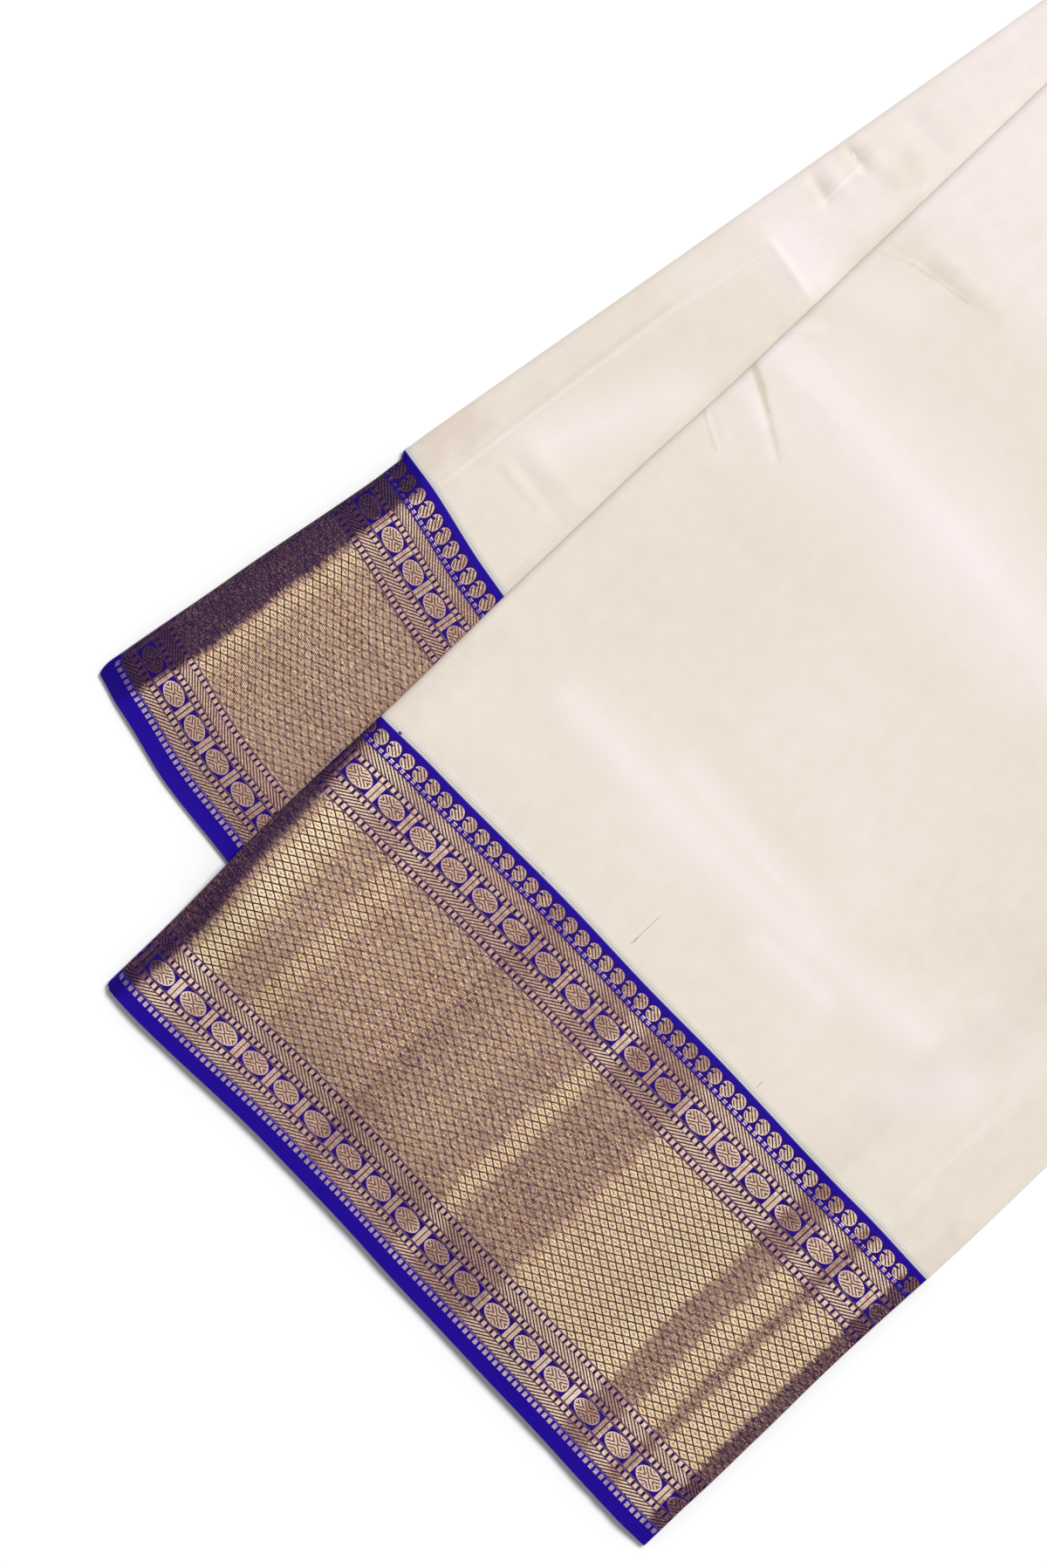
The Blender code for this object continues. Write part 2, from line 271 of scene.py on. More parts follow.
WARP_MM = 0.52
WEFT_MM = 0.47
WARP_SHARE = 0.3
WEFT_SHARE = 0.32
WARP_SLUB_MM = 60.0
WEFT_SLUB_MM = 80.0
GOLD_GROUND_MM = (9.9, 137.5)

# How far the weave's threads stand up, in metres, and how strongly.
GOLD_RELIEF = 0.00006
SILK_RELIEF = 0.00003
RELIEF_STRENGTH = 0.6

# How light the threads are painted, by how much painted sheen they have: gold, the ground between it, and
# how much single threads differ.
THREAD_LIGHTNESS = (
    (0.0, (0.11, 0.02, 0.60)), (0.2, (0.27, 0.13, 0.60)), (0.35, (0.51, 0.33, 0.62)),
    (0.5, (0.61, 0.37, 0.64)), (0.75, (0.79, 0.24, 0.50)), (1.0, (0.94, 0.15, 0.38)),
)

# What the gold's colours are multiplied by, as screen colours: thread by thread, and in the dark threads
# where the field's painted sheen is bright.
WARM_TINT = (255, 243, 236)
YELLOW_TINT = (250, 250, 206)
AMBER_TINT = (255, 226, 110)

# The border's painted sheen across it, bands of painted light and shade on the gold: (millimetres from the
# left, how bright).
UPPER_SHEEN = (
    (0.5, 0.14), (3.5, 0.0), (6.5, 0.05), (9, 0.26), (12, 0.66), (15, 1.0), (21, 0.96), (29.5, 0.54),
    (41, 0.54), (43, 0.74), (51, 0.74), (53, 0.56), (93, 0.52), (97, 0.38), (122, 0.56), (134, 0.46),
    (145, 0.48), (147.5, 0.8), (152, 0.8), (157, 0.4), (183, 0.42), (188, 0.76), (238.5, 0.94),
    (240.5, 0.36), (252, 0.38), (255, 0.86), (263.5, 0.82), (266, 0.36), (269.5, 0.38), (272.5, 0.88),
    (286.5, 0.84), (288, 0.24),
)
LOWER_SHEEN = (
    (0, 0.14), (4, 0.04), (9, 0.08), (14.5, 0.1), (17, 0.4), (19, 0.84), (23, 0.74), (27, 0.56), (45, 0.52),
    (52, 0.54), (60, 0.46), (68, 0.5), (80, 0.42), (90, 0.48), (110, 0.6), (130, 0.5), (160, 0.8),
    (200, 0.9), (215, 0.5), (250, 0.75), (280, 0.6), (294.7, 0.1),
)

# The painted sheen's edges turn near the left: over how far in, about which place along, and how much.
SHEEN_TURN_MM = 30.0
SHEEN_TURN_MIDDLE_MM = 45.0
SHEEN_TURN_LEAN = 0.08

# The silk's painted sheen past the seam, in bands of painted light and shade: (share of SILK_BANDS_MM, how
# light).
SILK_BANDS_MM = 530.0
UPPER_SILK_BANDS = (
    (0.0, 0.42), (0.02, 0.45), (0.05, 0.5), (0.15, 0.5), (0.25, 0.48), (0.45, 0.5), (0.5, 0.5),
    (0.54, 0.72), (0.68, 0.76), (0.76, 0.6), (0.9, 0.7), (1.0, 0.5),
)
LOWER_SILK_BANDS = (
    (0.0, 0.46), (0.28, 0.5), (0.3, 0.64), (0.35, 0.62), (0.4, 0.66), (0.46, 0.68), (0.55, 0.7),
    (0.65, 0.6), (0.8, 0.7), (1.0, 0.5),
)

# Soft streaks of painted light and shade on the silk, where it shines or turns away, in millimetres past
# the seam and across: where each starts and ends, its half width, and how much lighter it is, or darker.
UPPER_GLOWS = (
    (56, 44, 54, 98, 6, 0.55), (54, 98, 56, 172, 8.5, 0.65), (68, 95, 63, 160, 6, 0.6),
    (44, 160, 46, 190, 6, 0.6), (42, 238, 60, 250, 8, 0.7), (4, 291, 20, 291, 7, -0.5),
    (56, 172, 62, 228, 7, 0.5), (206, 2, 205, 46, 9, 1), (204, 46, 199, 118, 11.5, 1),
    (199, 118, 194, 165, 12, 0.85), (204, 30, 196, 150, 22, 0.65), (185, 3, 181, 18, 4.5, 0.6),
    (172, 2, 164, 18, 5, 0.3), (214, 1, 222, 8, 3.5, 0.7), (240, 3, 248, 22, 9, 0.5),
    # The narrow dark streaks from (194.9, -1) on are painted shade in the pinched creases.
    (268, 22, 272, 50, 4, -0.3), (194.9, -1, 189.6, 9, 1.3, -1.9), (189.6, 9, 185.2, 16.6, 1, -1.6),
    (185.2, 16.6, 180.2, 24.7, 0.8, -0.9), (180.2, 24.7, 175, 33, 0.8, -0.6),
    (168.5, 0, 161, 14, 0.7, -0.9), (257, 1, 263, 14, 0.7, -0.4), (263, 14, 267.5, 39, 0.7, -1.1),
    (267.5, 39, 273, 50, 0.7, -0.5), (90, 208, 108, 232, 18, -0.4), (2, 2, 46, 2, 7, -0.4),
    (0, 268.3, 120, 267.3, 0.9, 0.3), (0, 278, 120, 277, 7, -0.3),
)
LOWER_GLOWS = (
    (-5, 6, 24, 6, 9, -0.9), (28, 5, 150, 5, 8, -0.1), (2, 18.8, 114, 15.4, 0.8, 0.5),
    (114, 15.4, 157, 17.5, 0.8, 0.6), (157, 17.5, 155.5, 42, 0.9, 0.3), (2, 16.4, 114, 13, 1.2, -0.35),
    (46, 29, 98, 42, 9, 0.75), (164, 20, 168, 44, 8, 0.8), (120, 8, 150, 13, 6, 0.3),
    (170, 12, 196, 26, 10, 0.2), (215, 24, 219, 22, 6, -0.55), (204, 5, 206, 7, 4, -0.5),
    (184, 10, 186, 11, 3, -0.6), (183.5, 15, 204, 11.6, 0.7, 0.7), (26, 26, 29, 46, 1.4, -0.4),
    # The last four streaks are a painted shadow along the upper packet's edge, which lies on this packet.
    (-4, 66.5, 91, 53, 2.2, -0.3), (91, 53, 160, 44.5, 2.2, -0.3), (160, 44.5, 213, 36.5, 3.2, -0.6),
    (213, 36.5, 340, 17.5, 2.2, -0.2),
)

# The silk between the join's ticks, as a screen colour.
JOIN_GROUND = (234, 229, 222)

# Slubs and the ends of threads, in millimetres: the middle of each across and past the seam, its
# half width and half length, and its screen colour.
SLUB = (150, 140, 130)
THREAD_END = (40, 36, 120)
UPPER_MARKS = (
    (126.2, 14.5, 0.09, 7.6, SLUB),
    (126.35, 9.5, 0.16, 1.4, SLUB),
    (9.6, 1.0, 0.7, 0.5, THREAD_END),
    (84.0, 1.5, 0.35, 0.3, THREAD_END),
    (198.2, 5.2, 0.1, 1.7, SLUB),
)

# How far the streaks' edges stray, and the half width from which they stray fully.
RAGGED_MM = 13.0
RAGGED_REACH = 8.0

# The two packets' frames, worked out from the sizes above and the solid model's boxes. Places
# are measured from the upper packet's left corner at the hem, which is at ORIGIN.
SKEW = math.tan(FAN_ANGLE / 2)
FOLD_OUT = Vector((math.cos(FAN_ANGLE / 2), -math.sin(FAN_ANGLE / 2)))
LOWER_ALONG = Vector((math.cos(FAN_ANGLE), -math.sin(FAN_ANGLE)))
LOWER_ACROSS = Vector((-math.sin(FAN_ANGLE), -math.cos(FAN_ANGLE)))
LOWER_CORNER = Vector((UPPER_LENGTH, 0.0)) - LOWER_LENGTH * LOWER_ALONG
END_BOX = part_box("end_fold")
HEM_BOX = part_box("upper_border")
FOLD_REACH = (PACKET_HEIGHT + GAP) * math.cos(FAN_ANGLE / 2)
ORIGIN = Vector((END_BOX[1][0] - UPPER_LENGTH - FOLD_REACH, HEM_BOX[0][1] + PANEL_WIDTH))
WIDTH_MM = PANEL_WIDTH * 1000


def linear(red, green, blue):
    """A screen colour, 0 to 255 a channel, as the linear numbers that shaders take."""
    return tuple(((c / 255 + 0.055) / 1.055) ** 2.4 if c > 10 else c / 255 / 12.92
                 for c in (red, green, blue))


class DhotiSizes(bpy.types.PropertyGroup):
    """The sizes that a user would change."""

    ply: bpy.props.FloatProperty(
        name="Ply", description="How thick one layer of the silk is", default=0.00026,
        min=0.0001, max=0.0005, precision=5, subtype="DISTANCE", unit="LENGTH")
    relief: bpy.props.FloatProperty(
        name="Relief", description="How strongly the folds and creases stand up", default=1.0,
        min=0.0, max=2.0, subtype="FACTOR")
    fold_bulge: bpy.props.FloatProperty(
        name="Fold bulge", description="How far each rounded fold on the right stands out",
        default=0.0006, min=0.0, max=0.002, precision=5, subtype="DISTANCE", unit="LENGTH")
    wobble: bpy.props.FloatProperty(
        name="Wobble", description="How far the hidden folds on the right stray from a line",
        default=0.0006, min=0.0, max=0.003, precision=5, subtype="DISTANCE", unit="LENGTH")


def colour_property(name, description, screen_colour):
    """A colour that a user can change, from a screen colour."""
    return bpy.props.FloatVectorProperty(
        name=name, description=description, default=linear(*screen_colour), size=3,
        min=0.0, max=1.0, subtype="COLOR")


class DhotiColours(bpy.types.PropertyGroup):
    """The colours that a user would change."""

    silk: colour_property("Silk", "The plain cream silk", (229, 219, 207))
    silk_light: colour_property("Silk, light", "The silk where it catches the light", (243, 231, 230))
    silk_shade: colour_property("Silk, shade", "The silk where it turns away", (216, 202, 188))
    lilac: colour_property("Lilac", "The gold blocks beside the selvedge", (160, 142, 180))
    selvedge: colour_property("Selvedge", "The blue silk of the border", (32, 7, 144))
    # From glint down to night, the gold weave is painted lit and shaded: glint is a painted highlight, gold
    # is painted shining and gold, dull in painted shade, and dusk and night are the darkest threads,
    # painted darker still as shade where they face away or lie in the folds.
    glint: colour_property("Glint", "Gold thread at its brightest", (255, 246, 232))
    gold: colour_property("Gold", "Gold thread where it shines", (230, 203, 184))
    gold_dull: colour_property("Gold, dull", "Gold thread where it doesn't", (189, 157, 141))
    brown: colour_property("Brown", "Gold and violet threads mixed", (146, 113, 102))
    umber: colour_property("Umber", "The ground between gold threads", (100, 68, 69))
    dusk: colour_property("Dusk", "Threads that face away", (52, 30, 50))
    violet: colour_property("Violet", "Blue threads that show through the gold", (74, 50, 104))
    # Violet, deep is painted shade: blue threads darkened where the gold's painted sheen is lowest, in the
    # folds.
    violet_shade: colour_property("Violet, deep", "Blue threads in the folds", (40, 24, 70))
    night: colour_property("Night", "Threads in the deepest folds", (16, 4, 30))
    slot: colour_property("Slot", "The dark violet between small squares", (42, 12, 66))
    tick: colour_property("Tick", "The dark ticks of the join", (120, 118, 120))
    floor: colour_property("Table", "The pale table", (250, 250, 250))


def ease(share):
    """Shares from 0 to 1 that start and end gently."""
    share = np.clip(share, 0.0, 1.0)
    return share * share * (3 - 2 * share)


def wave(table, places):
    """A gentle wave through a table's places."""
    starts, offsets = np.array(table).T
    i = np.clip(np.searchsorted(starts, places, side="right") - 1, 0, len(starts) - 2)
    share = (places - starts[i]) / (starts[i + 1] - starts[i])
    return offsets[i] + (offsets[i + 1] - offsets[i]) * ease(share)


def top_share(across):
    """How high the top ply stands across the panel, as a share of the packet's height."""
    left = ROLL_SHARE + (1 - ROLL_SHARE) * ease(across / SHOULDER)
    slope = np.clip((across - PANEL_WIDTH + RIGHT_SLOPE) / RIGHT_SLOPE, 0.0, 1.0)
    return left * (1 - (1 - RIGHT_SHARE) * (1 - np.cos(slope * math.pi / 2)))


def fold_heights(folds, along, across):
    """How far a table's folds and creases lift these places."""
    total = np.zeros_like(along)
    for fold in folds:
        from_along, from_across, to_along, to_across, half_width, height = (size / 1000 for size in fold)
        run = np.array((to_along - from_along, to_across - from_across))
        length = np.hypot(*run)
        run /= length
        past = (along - from_along) * run[0] + (across - from_across) * run[1]
        aside = (along - from_along) * run[1] - (across - from_across) * run[0]
        ends = ease(past / (4 * half_width) + 0.5) * ease((length - past) / (4 * half_width) + 0.5)
        total += height * ends * np.exp(-(aside / half_width) ** 2)
    return total


def bed_height(x, y):
    """How high the upper packet's underside lies: on the lower packet, or down on the table."""
    past_hem = -((x - LOWER_CORNER.x) * LOWER_ALONG.x + (y - LOWER_CORNER.y) * LOWER_ALONG.y)
    past_side = ((x - LOWER_CORNER.x) * LOWER_ACROSS.x
                 + (y - LOWER_CORNER.y) * LOWER_ACROSS.y - PANEL_WIDTH)
    carried = ease(1 - past_hem / DROP_RUN) * ease(1 - past_side / DROP_RUN)
    from_fold = (UPPER_LENGTH - x) * FOLD_OUT.x - y * FOLD_OUT.y
    near_fold = ease(1 - from_fold / FOLD_EASE)
    return PACKET_HEIGHT * (carried + (1 - carried) * near_fold)


class Packet:
    """One half of the folded cloth: its sizes, and where its places are in the world."""

    def __init__(self, scene):
        sizes = scene.dhoti_sizes
        self.colours = scene.dhoti_colours
        self.ply = sizes.ply
        self.relief = sizes.relief
        self.bulge = sizes.fold_bulge
        self.wobble = sizes.wobble

    def hem(self, across, ply):
        """How far in each ply starts."""
        steps = np.interp(ply, range(TOP_PLY + 1), self.hem_steps)
        stray = HEM_STRAY * np.sin(across / HEM_STRAY_RUN + HEM_STRAY_TURN * ply) * (1 - ply / TOP_PLY)
        return wave(self.hem_wave, across / PANEL_WIDTH) + steps + stray

    def seam(self, across):
        """How far in the border ends and the body starts."""
        return BORDER_DEPTH + wave(self.seam_wave, across / PANEL_WIDTH)

    def end(self, across):
        """How far in the end fold is."""
        return self.length + across * self.lean

    def flat_length(self, kind):
        """How long the border or the body is, laid flat."""
        return BORDER_DEPTH if kind == "border" else self.length - BORDER_DEPTH

    def height(self, along, across, ply):
        """How high the places are above the packet's bed."""
        share = ply / TOP_PLY
        rise = ease(along / self.hem_run)
        stack = self.full_height * (self.hem_share + (1 - self.hem_share) * rise)
        lift = self.relief * self.shown(along, across) * fold_heights(self.folds, along, across)
        top = stack * top_share(across) + lift * share ** 3
        return self.ply / 2 + (top - self.ply) * share

    def strayed(self, along, across, ply):
        """The places' distances across, with the sides' bow and the right folds' wobble."""
        out = (wave(self.left_wave, along) * ease(1 - across / SIDE_REACH)
               - wave(self.right_wave, along) * ease(1 - (PANEL_WIDTH - across) / SIDE_REACH))
        pair = np.floor(np.minimum(ply, TOP_PLY - 0.01) / 2)
        kept = 1 - WOBBLE_LOSS * ((pair < 1) | (pair > 4))
        turns = 2 * math.pi * along / WOBBLE_LENGTH * (1 + WOBBLE_QUICKER * pair)
        sway = np.sin(turns + WOBBLE_TURN * pair)
        near_right = ease((across - PANEL_WIDTH + WOBBLE_REACH) / WOBBLE_REACH)
        return across - out + self.wobble * kept * sway * near_right

    def places(self, along, across, ply):
        """World positions of places in the packet, with x, y and z last."""
        x, y = self.spot(along, self.strayed(along, across, ply))
        z = self.bed(x, y) + self.height(along, across, ply)
        return np.stack([x + ORIGIN.x, y + ORIGIN.y, z], -1)

    def turned(self, angle, across, ply):
        """World positions in the end fold, at an angle from the packet's own side of it."""
        end = self.end(across)
        straight = self.height(end, across, ply)
        round_height = self.ply / 2 + (self.full_height - self.ply) * ply / TOP_PLY
        height = straight + (round_height - straight) * ease(angle / (math.pi / 2))
        return end_place(self.tilt(angle), self.strayed(end, across, ply), self.radius(height))


def end_place(angle, across, radius):
    """World positions in the end fold, at an angle from the top of the turn."""
    reach = radius * np.sin(angle)
    x = UPPER_LENGTH - across * SKEW + FOLD_OUT.x * reach
    y = -across + FOLD_OUT.y * reach
    return np.stack([x + ORIGIN.x, y + ORIGIN.y, PACKET_HEIGHT + radius * np.cos(angle)], -1)


class UpperPacket(Packet):
    """The upper half, which lies on the lower one and comes down to the table beside it."""

    name = "upper"
    length = UPPER_LENGTH
    lean = -SKEW
    full_height = PACKET_HEIGHT
    hem_share = 0.78
    hem_run = 0.014
    hem_wave = UPPER_HEM
    seam_wave = UPPER_SEAM
    left_wave = UPPER_LEFT
    right_wave = UPPER_RIGHT
    stray_wave = UPPER_STRAY
    stray_lean = UPPER_STRAY_LEAN
    sheen = UPPER_SHEEN
    silk_bands = UPPER_SILK_BANDS
    glows = UPPER_GLOWS
    marks = UPPER_MARKS
    rows = UPPER_ROWS
    hem_steps = UPPER_HEM_STEPS
    folds = UPPER_FOLDS
    creased = UPPER_CREASED
    hidden = HIDDEN
    rests_on = ["lower_body", "lower_border"]

    def spot(self, along, across):
        """The flat x and y of places, before they move to ORIGIN."""
        return along, -across

    def bed(self, x, y):
        """How high the packet's underside is."""
        return bed_height(x, y)

    def shown(self, along, across):
        """1 where the packet is bare, which is everywhere."""
        return 1.0

    def radius(self, height):
        """How far a height is from the middle of the end fold."""
        return height

    def tilt(self, angle):
        """An angle from the packet's side of the end fold, as one from the top of the turn."""
        return angle


class LowerPacket(Packet):
    """The lower half, which lies flat on the table."""

    name = "lower"
    length = LOWER_LENGTH
    lean = SKEW
    full_height = PACKET_HEIGHT - GAP
    hem_share = 0.45
    hem_run = 0.026
    hem_wave = LOWER_HEM
    seam_wave = LOWER_SEAM
    left_wave = LOWER_LEFT
    right_wave = LOWER_RIGHT
    stray_wave = LOWER_STRAY
    stray_lean = LOWER_STRAY_LEAN
    sheen = LOWER_SHEEN
    silk_bands = LOWER_SILK_BANDS
    glows = LOWER_GLOWS
    marks = ()
    rows = LOWER_ROWS
    hem_steps = LOWER_HEM_STEPS
    folds = LOWER_FOLDS
    creased = LOWER_CREASED
    hidden = COARSE
    rests_on = []

    def spot(self, along, across):
        x = LOWER_CORNER.x + along * LOWER_ALONG.x + across * LOWER_ACROSS.x
        y = LOWER_CORNER.y + along * LOWER_ALONG.y + across * LOWER_ACROSS.y
        return x, y

    def bed(self, x, y):
        return 0.0

    def shown(self, along, across):
        """1 where the upper packet leaves the lower one bare, and 0 under it."""
        return ease(self.spot(along, across)[1] / SHOWN_EASE)

    def radius(self, height):
        return PACKET_HEIGHT - height

    def tilt(self, angle):
        return math.pi - angle


def run(start, end, ply, *steps):
    """A flat stretch of one ply. Three steps are for its start, middle and end."""
    way = 1 if end > start else -1
    if len(steps) == 1:
        across = np.linspace(start, end, max(2, round(abs(end - start) / steps[0]) + 1))
    else:
        stops = (start, start + way * RUN_EDGE, end - way * RUN_EDGE, end)
        across = np.concatenate([
            np.linspace(a, b, round(abs(b - a) / step) + 1)[bool(i):]
            for i, (a, b, step) in enumerate(zip(stops, stops[1:], steps))])
    return np.stack([across, np.full(len(across), float(ply))], -1)


def turn(place, reach, ply, next_ply, steps=FOLD_STEPS):
    """A rounded fold between two plies, which stands out to the right by its reach."""
    angle = np.linspace(0, math.pi, steps + 1)[1:-1]
    plies = ply + (next_ply - ply) * (1 - np.cos(angle)) / 2
    return np.stack([place + reach * np.sin(angle), plies], -1)


def outer_path(packet, top_steps):
    """Round the outside of a packet: over the top, round the left roll and underneath, with a
    tail turned in at the right above and below."""
    right = PANEL_WIDTH - packet.bulge
    return np.concatenate([
        run(right - TAIL, right, TOP_PLY - 1, TAIL / 3),
        turn(right, packet.bulge, TOP_PLY - 1, TOP_PLY),
        run(right, ROLL, TOP_PLY, *top_steps),
        turn(ROLL, -ROLL, TOP_PLY, 0, ROLL_STEPS),
        run(ROLL, right, 0, HIDDEN),
        turn(right, packet.bulge, 0, 1),
        run(right, right - TAIL, 1, TAIL / 3),
    ])


def inner_path(packet):
    """The hidden plies, one after another from the top, folded at the left and right."""
    right = PANEL_WIDTH - packet.bulge
    rights = [right - TAIL] + [right - inset for inset in HIDDEN_RIGHT_FOLDS] + [right - TAIL]
    parts = []
    for i, left in enumerate(HIDDEN_LEFT_FOLDS):
        ply = TOP_PLY - 1 - 2 * i
        parts.append(run(rights[i], left, ply, packet.hidden))
        parts.append(turn(left, -2 * packet.bulge, ply, ply - 1))
        parts.append(run(left, rights[i + 1], ply - 1, packet.hidden))
        if i + 1 < len(HIDDEN_LEFT_FOLDS):
            parts.append(turn(rights[i + 1], packet.bulge, ply - 1, ply - 2))
    return np.concatenate(parts)


def path_length(packet, path):
    """How long a path round a packet is, half way along it."""
    x, y, z = packet.places(np.full(len(path), packet.length / 2), *path.T).T
    return float(np.sqrt(np.diff(x) ** 2 + np.diff(y) ** 2 + np.diff(z) ** 2).sum())


def grid_mesh(name, points, weave, bake, material, thickness):
    """A sheet through a grid of points, with its weave in metres and its bake map as UV maps."""
    rows, columns = points.shape[:2]
    corner = np.arange(rows * columns).reshape(rows, columns)
    faces = np.stack([corner[:-1, :-1], corner[1:, :-1], corner[1:, 1:], corner[:-1, 1:]], -1)
    faces = faces.reshape(-1, 4)
    mesh = bpy.data.meshes.new(name)
    mesh.from_pydata(points.reshape(-1, 3).tolist(), [], faces.tolist())
    for layer, places in (("Weave", weave), ("OFBake", bake)):
        uv = mesh.uv_layers.new(name=layer)
        uv.data.foreach_set("uv", places.reshape(-1, 2)[faces.ravel()].ravel())
    mesh.shade_smooth()
    mesh.materials.append(material)
    sheet = bpy.data.objects.new(name, mesh)
    bpy.context.scene.collection.objects.link(sheet)
    if thickness:
        shell = sheet.modifiers.new("Thickness", "SOLIDIFY")
        shell.thickness = thickness
        shell.offset = 0.0
    return sheet


def declare(sheet, node, width, length):
    """Rides the sheet on the cloth's one body, in the place of its solid, which it hides. Its width and
    length are not used.
    """
    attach(sheet, "root")
    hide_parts(node)


def row_shares(start, end, step, creased):
    """Where rows of points lie between two ends, as shares of the way. They are closer at the
    creases, and one beside each end keeps the shading of the rim narrow."""
    places = [start, start + RIM]
    while places[-1] < end - RIM:
        close = any(low < places[-1] < high for low, high in creased)
        places.append(min(places[-1] + (FINE if close else step), end - RIM))
    return spread(np.array(places + [end]))[:, None]


def sheet_rows(packet, path, kind, step, turn_angles=()):
    """The points of one stretch of a packet, row by row from its hem, and how far along the
    weave each of them is."""
    across, ply = path.T
    if kind == "border":
        start, end = packet.hem(across, ply), packet.seam(across)
    else:
        start, end = packet.seam(across), packet.end(across)
    creased = packet.creased if kind == "body" and step < COARSE and not len(turn_angles) else ()
    share = row_shares(start.mean(), end.mean(), step, creased)
    along = start + (end - start) * share
    across_rows = np.broadcast_to(across, along.shape)
    ply_rows = np.broadcast_to(ply, along.shape)
    points = packet.places(along, across_rows, ply_rows)
    if kind == "border":
        woven = np.broadcast_to(np.interp(share, *np.array(packet.rows).T), along.shape)
    else:
        woven = along - start
    if len(turn_angles):
        angle = np.asarray(turn_angles)[:, None]
        around = np.broadcast_to(angle, (len(turn_angles), len(across)))
        more = packet.turned(around, np.broadcast_to(across, around.shape),
                             np.broadcast_to(ply, around.shape))
        points = np.concatenate([points, more])
        woven = np.concatenate([woven, woven[-1] + packet.full_height / 2 * around])
    return points, woven


def spread(values):
    """Values moved and scaled to fill 0 to 1."""
    return (values - values.min()) / (values.max() - values.min())


def make_outer(packet, kind, step, top_steps):
    """The outer ply of one stretch of a packet."""
    path = outer_path(packet, top_steps)
    points, woven = sheet_rows(packet, path, kind, step)
    across = np.broadcast_to(path[:, 0], woven.shape)
    strayed = across
    if kind == "border":
        strayed = across + np.interp(across, *np.array(packet.stray_wave).T) + packet.stray_lean * woven
    weave = np.stack([strayed, woven], -1)
    bake = np.stack([spread(across), spread(woven)], -1)
    name = f"{packet.name}_{kind}"
    sheet = grid_mesh(name + "_cloth", points, weave, bake, finish(packet, kind), packet.ply)
    declare(sheet, name, path_length(packet, path), packet.flat_length(kind))


def make_layers(packet, kind, step):
    """The hidden plies of one stretch of a packet, folded to and fro as one sheet. Those of the
    body carry on into the end fold."""
    slot, thickness, turn_angles = "blue_selvedge", packet.ply, ()
    if kind == "body":
        slot, thickness, turn_angles = "cream_silk", 0.0, np.linspace(0, math.pi / 2, TURN_STEPS + 1)[1:]
    path = inner_path(packet)
    points, woven = sheet_rows(packet, path, kind, step, turn_angles)
    steps = np.linalg.norm(np.diff(points[len(points) // 2], axis=0), axis=1)
    unfolded = np.broadcast_to(np.concatenate([[0.0], np.cumsum(steps)]), woven.shape)
    weave = np.stack([unfolded, woven], -1)
    bake = np.stack([spread(unfolded), spread(woven)], -1)
    name = f"{packet.name}_{kind}_layers"
    sheet_name = name.replace("layers", "plies")
    sheet = grid_mesh(sheet_name, points, weave, bake, finish(packet, kind), thickness)
    declare(sheet, name, unfolded.max(), packet.flat_length(kind))


def make_end_fold(upper):
    """The outer ply where the cloth turns back on itself, from its right tail over the top to
    part of the way round the left roll."""
    path = outer_path(upper, END_FOLD_STEPS)
    roll_end = int(np.argmax((path[:, 1] == 0) & (path[:, 0] > ROLL)))
    path = path[:roll_end - ROLL_STEPS + END_ROLL_STEPS]
    across, ply = path.T
    angle = np.linspace(0, math.pi, END_STEPS + 1)[:, None]
    straight = upper.height(upper.end(across), across, ply)
    full = upper.ply / 2 + (PACKET_HEIGHT - upper.ply) * (ply / TOP_PLY)
    rounder = full + (PACKET_HEIGHT * (1 - ROLL_SHARE)) * (ply < TOP_PLY - 1) * (1 - ply / TOP_PLY)
    radius = straight + (rounder - straight) * ease(angle / (math.pi / 2))
    across = np.broadcast_to(upper.strayed(upper.end(across), across, ply), radius.shape)
    points = end_place(np.broadcast_to(angle, radius.shape), across, radius)
    woven = UPPER_LENGTH - BORDER_DEPTH + PACKET_HEIGHT * np.broadcast_to(angle, radius.shape)
    weave = np.stack([across, woven], -1)
    bake = np.stack([spread(across), spread(woven)], -1)
    sheet = grid_mesh("end_fold_cloth", points, weave, bake, finish(upper, "body"), upper.ply)
    declare(sheet, "end_fold", path_length(upper, path), PACKET_HEIGHT * math.pi)


class Wire:
    """A number in a material's nodes, which arithmetic adds Math nodes to."""

    def __init__(self, tree, socket):
        self.tree = tree
        self.socket = socket

    def math(self, operation, *others):
        node = self.tree.nodes.new("ShaderNodeMath")
        node.operation = operation
        for place, value in zip(node.inputs, (self,) + others):
            plug(self.tree, value, place)
        return Wire(self.tree, node.outputs[0])

    __add__ = partialmethod(math, "ADD")
    __sub__ = partialmethod(math, "SUBTRACT")
    __mul__ = partialmethod(math, "MULTIPLY")
    __truediv__ = partialmethod(math, "DIVIDE")
    __abs__ = partialmethod(math, "ABSOLUTE")
    under = partialmethod(math, "LESS_THAN")
    over = partialmethod(math, "GREATER_THAN")
    most = partialmethod(math, "MAXIMUM")
    least = partialmethod(math, "MINIMUM")

    def within(self, low, high):
        return self.over(low) * self.under(high)

    def cycle(self, pitch):
        """Where a number is in a repeat of this pitch, from 0 to 1."""
        return (self / pitch).math("FRACT")

    def from_middle(self, pitch):
        """How far a number is from the middle of its repeat, with its sign."""
        return (self.cycle(pitch) - 0.5) * pitch

    def off(self):
        """1 less this number."""
        return self * -1.0 + 1.0

    def soft(self, low, high):
        """0 below low, 1 above high, and smooth between."""
        node = self.tree.nodes.new("ShaderNodeMapRange")
        node.interpolation_type = "SMOOTHSTEP"
        fill(node, {"Value": self, "From Min": low, "From Max": high})
        return Wire(self.tree, node.outputs["Result"])


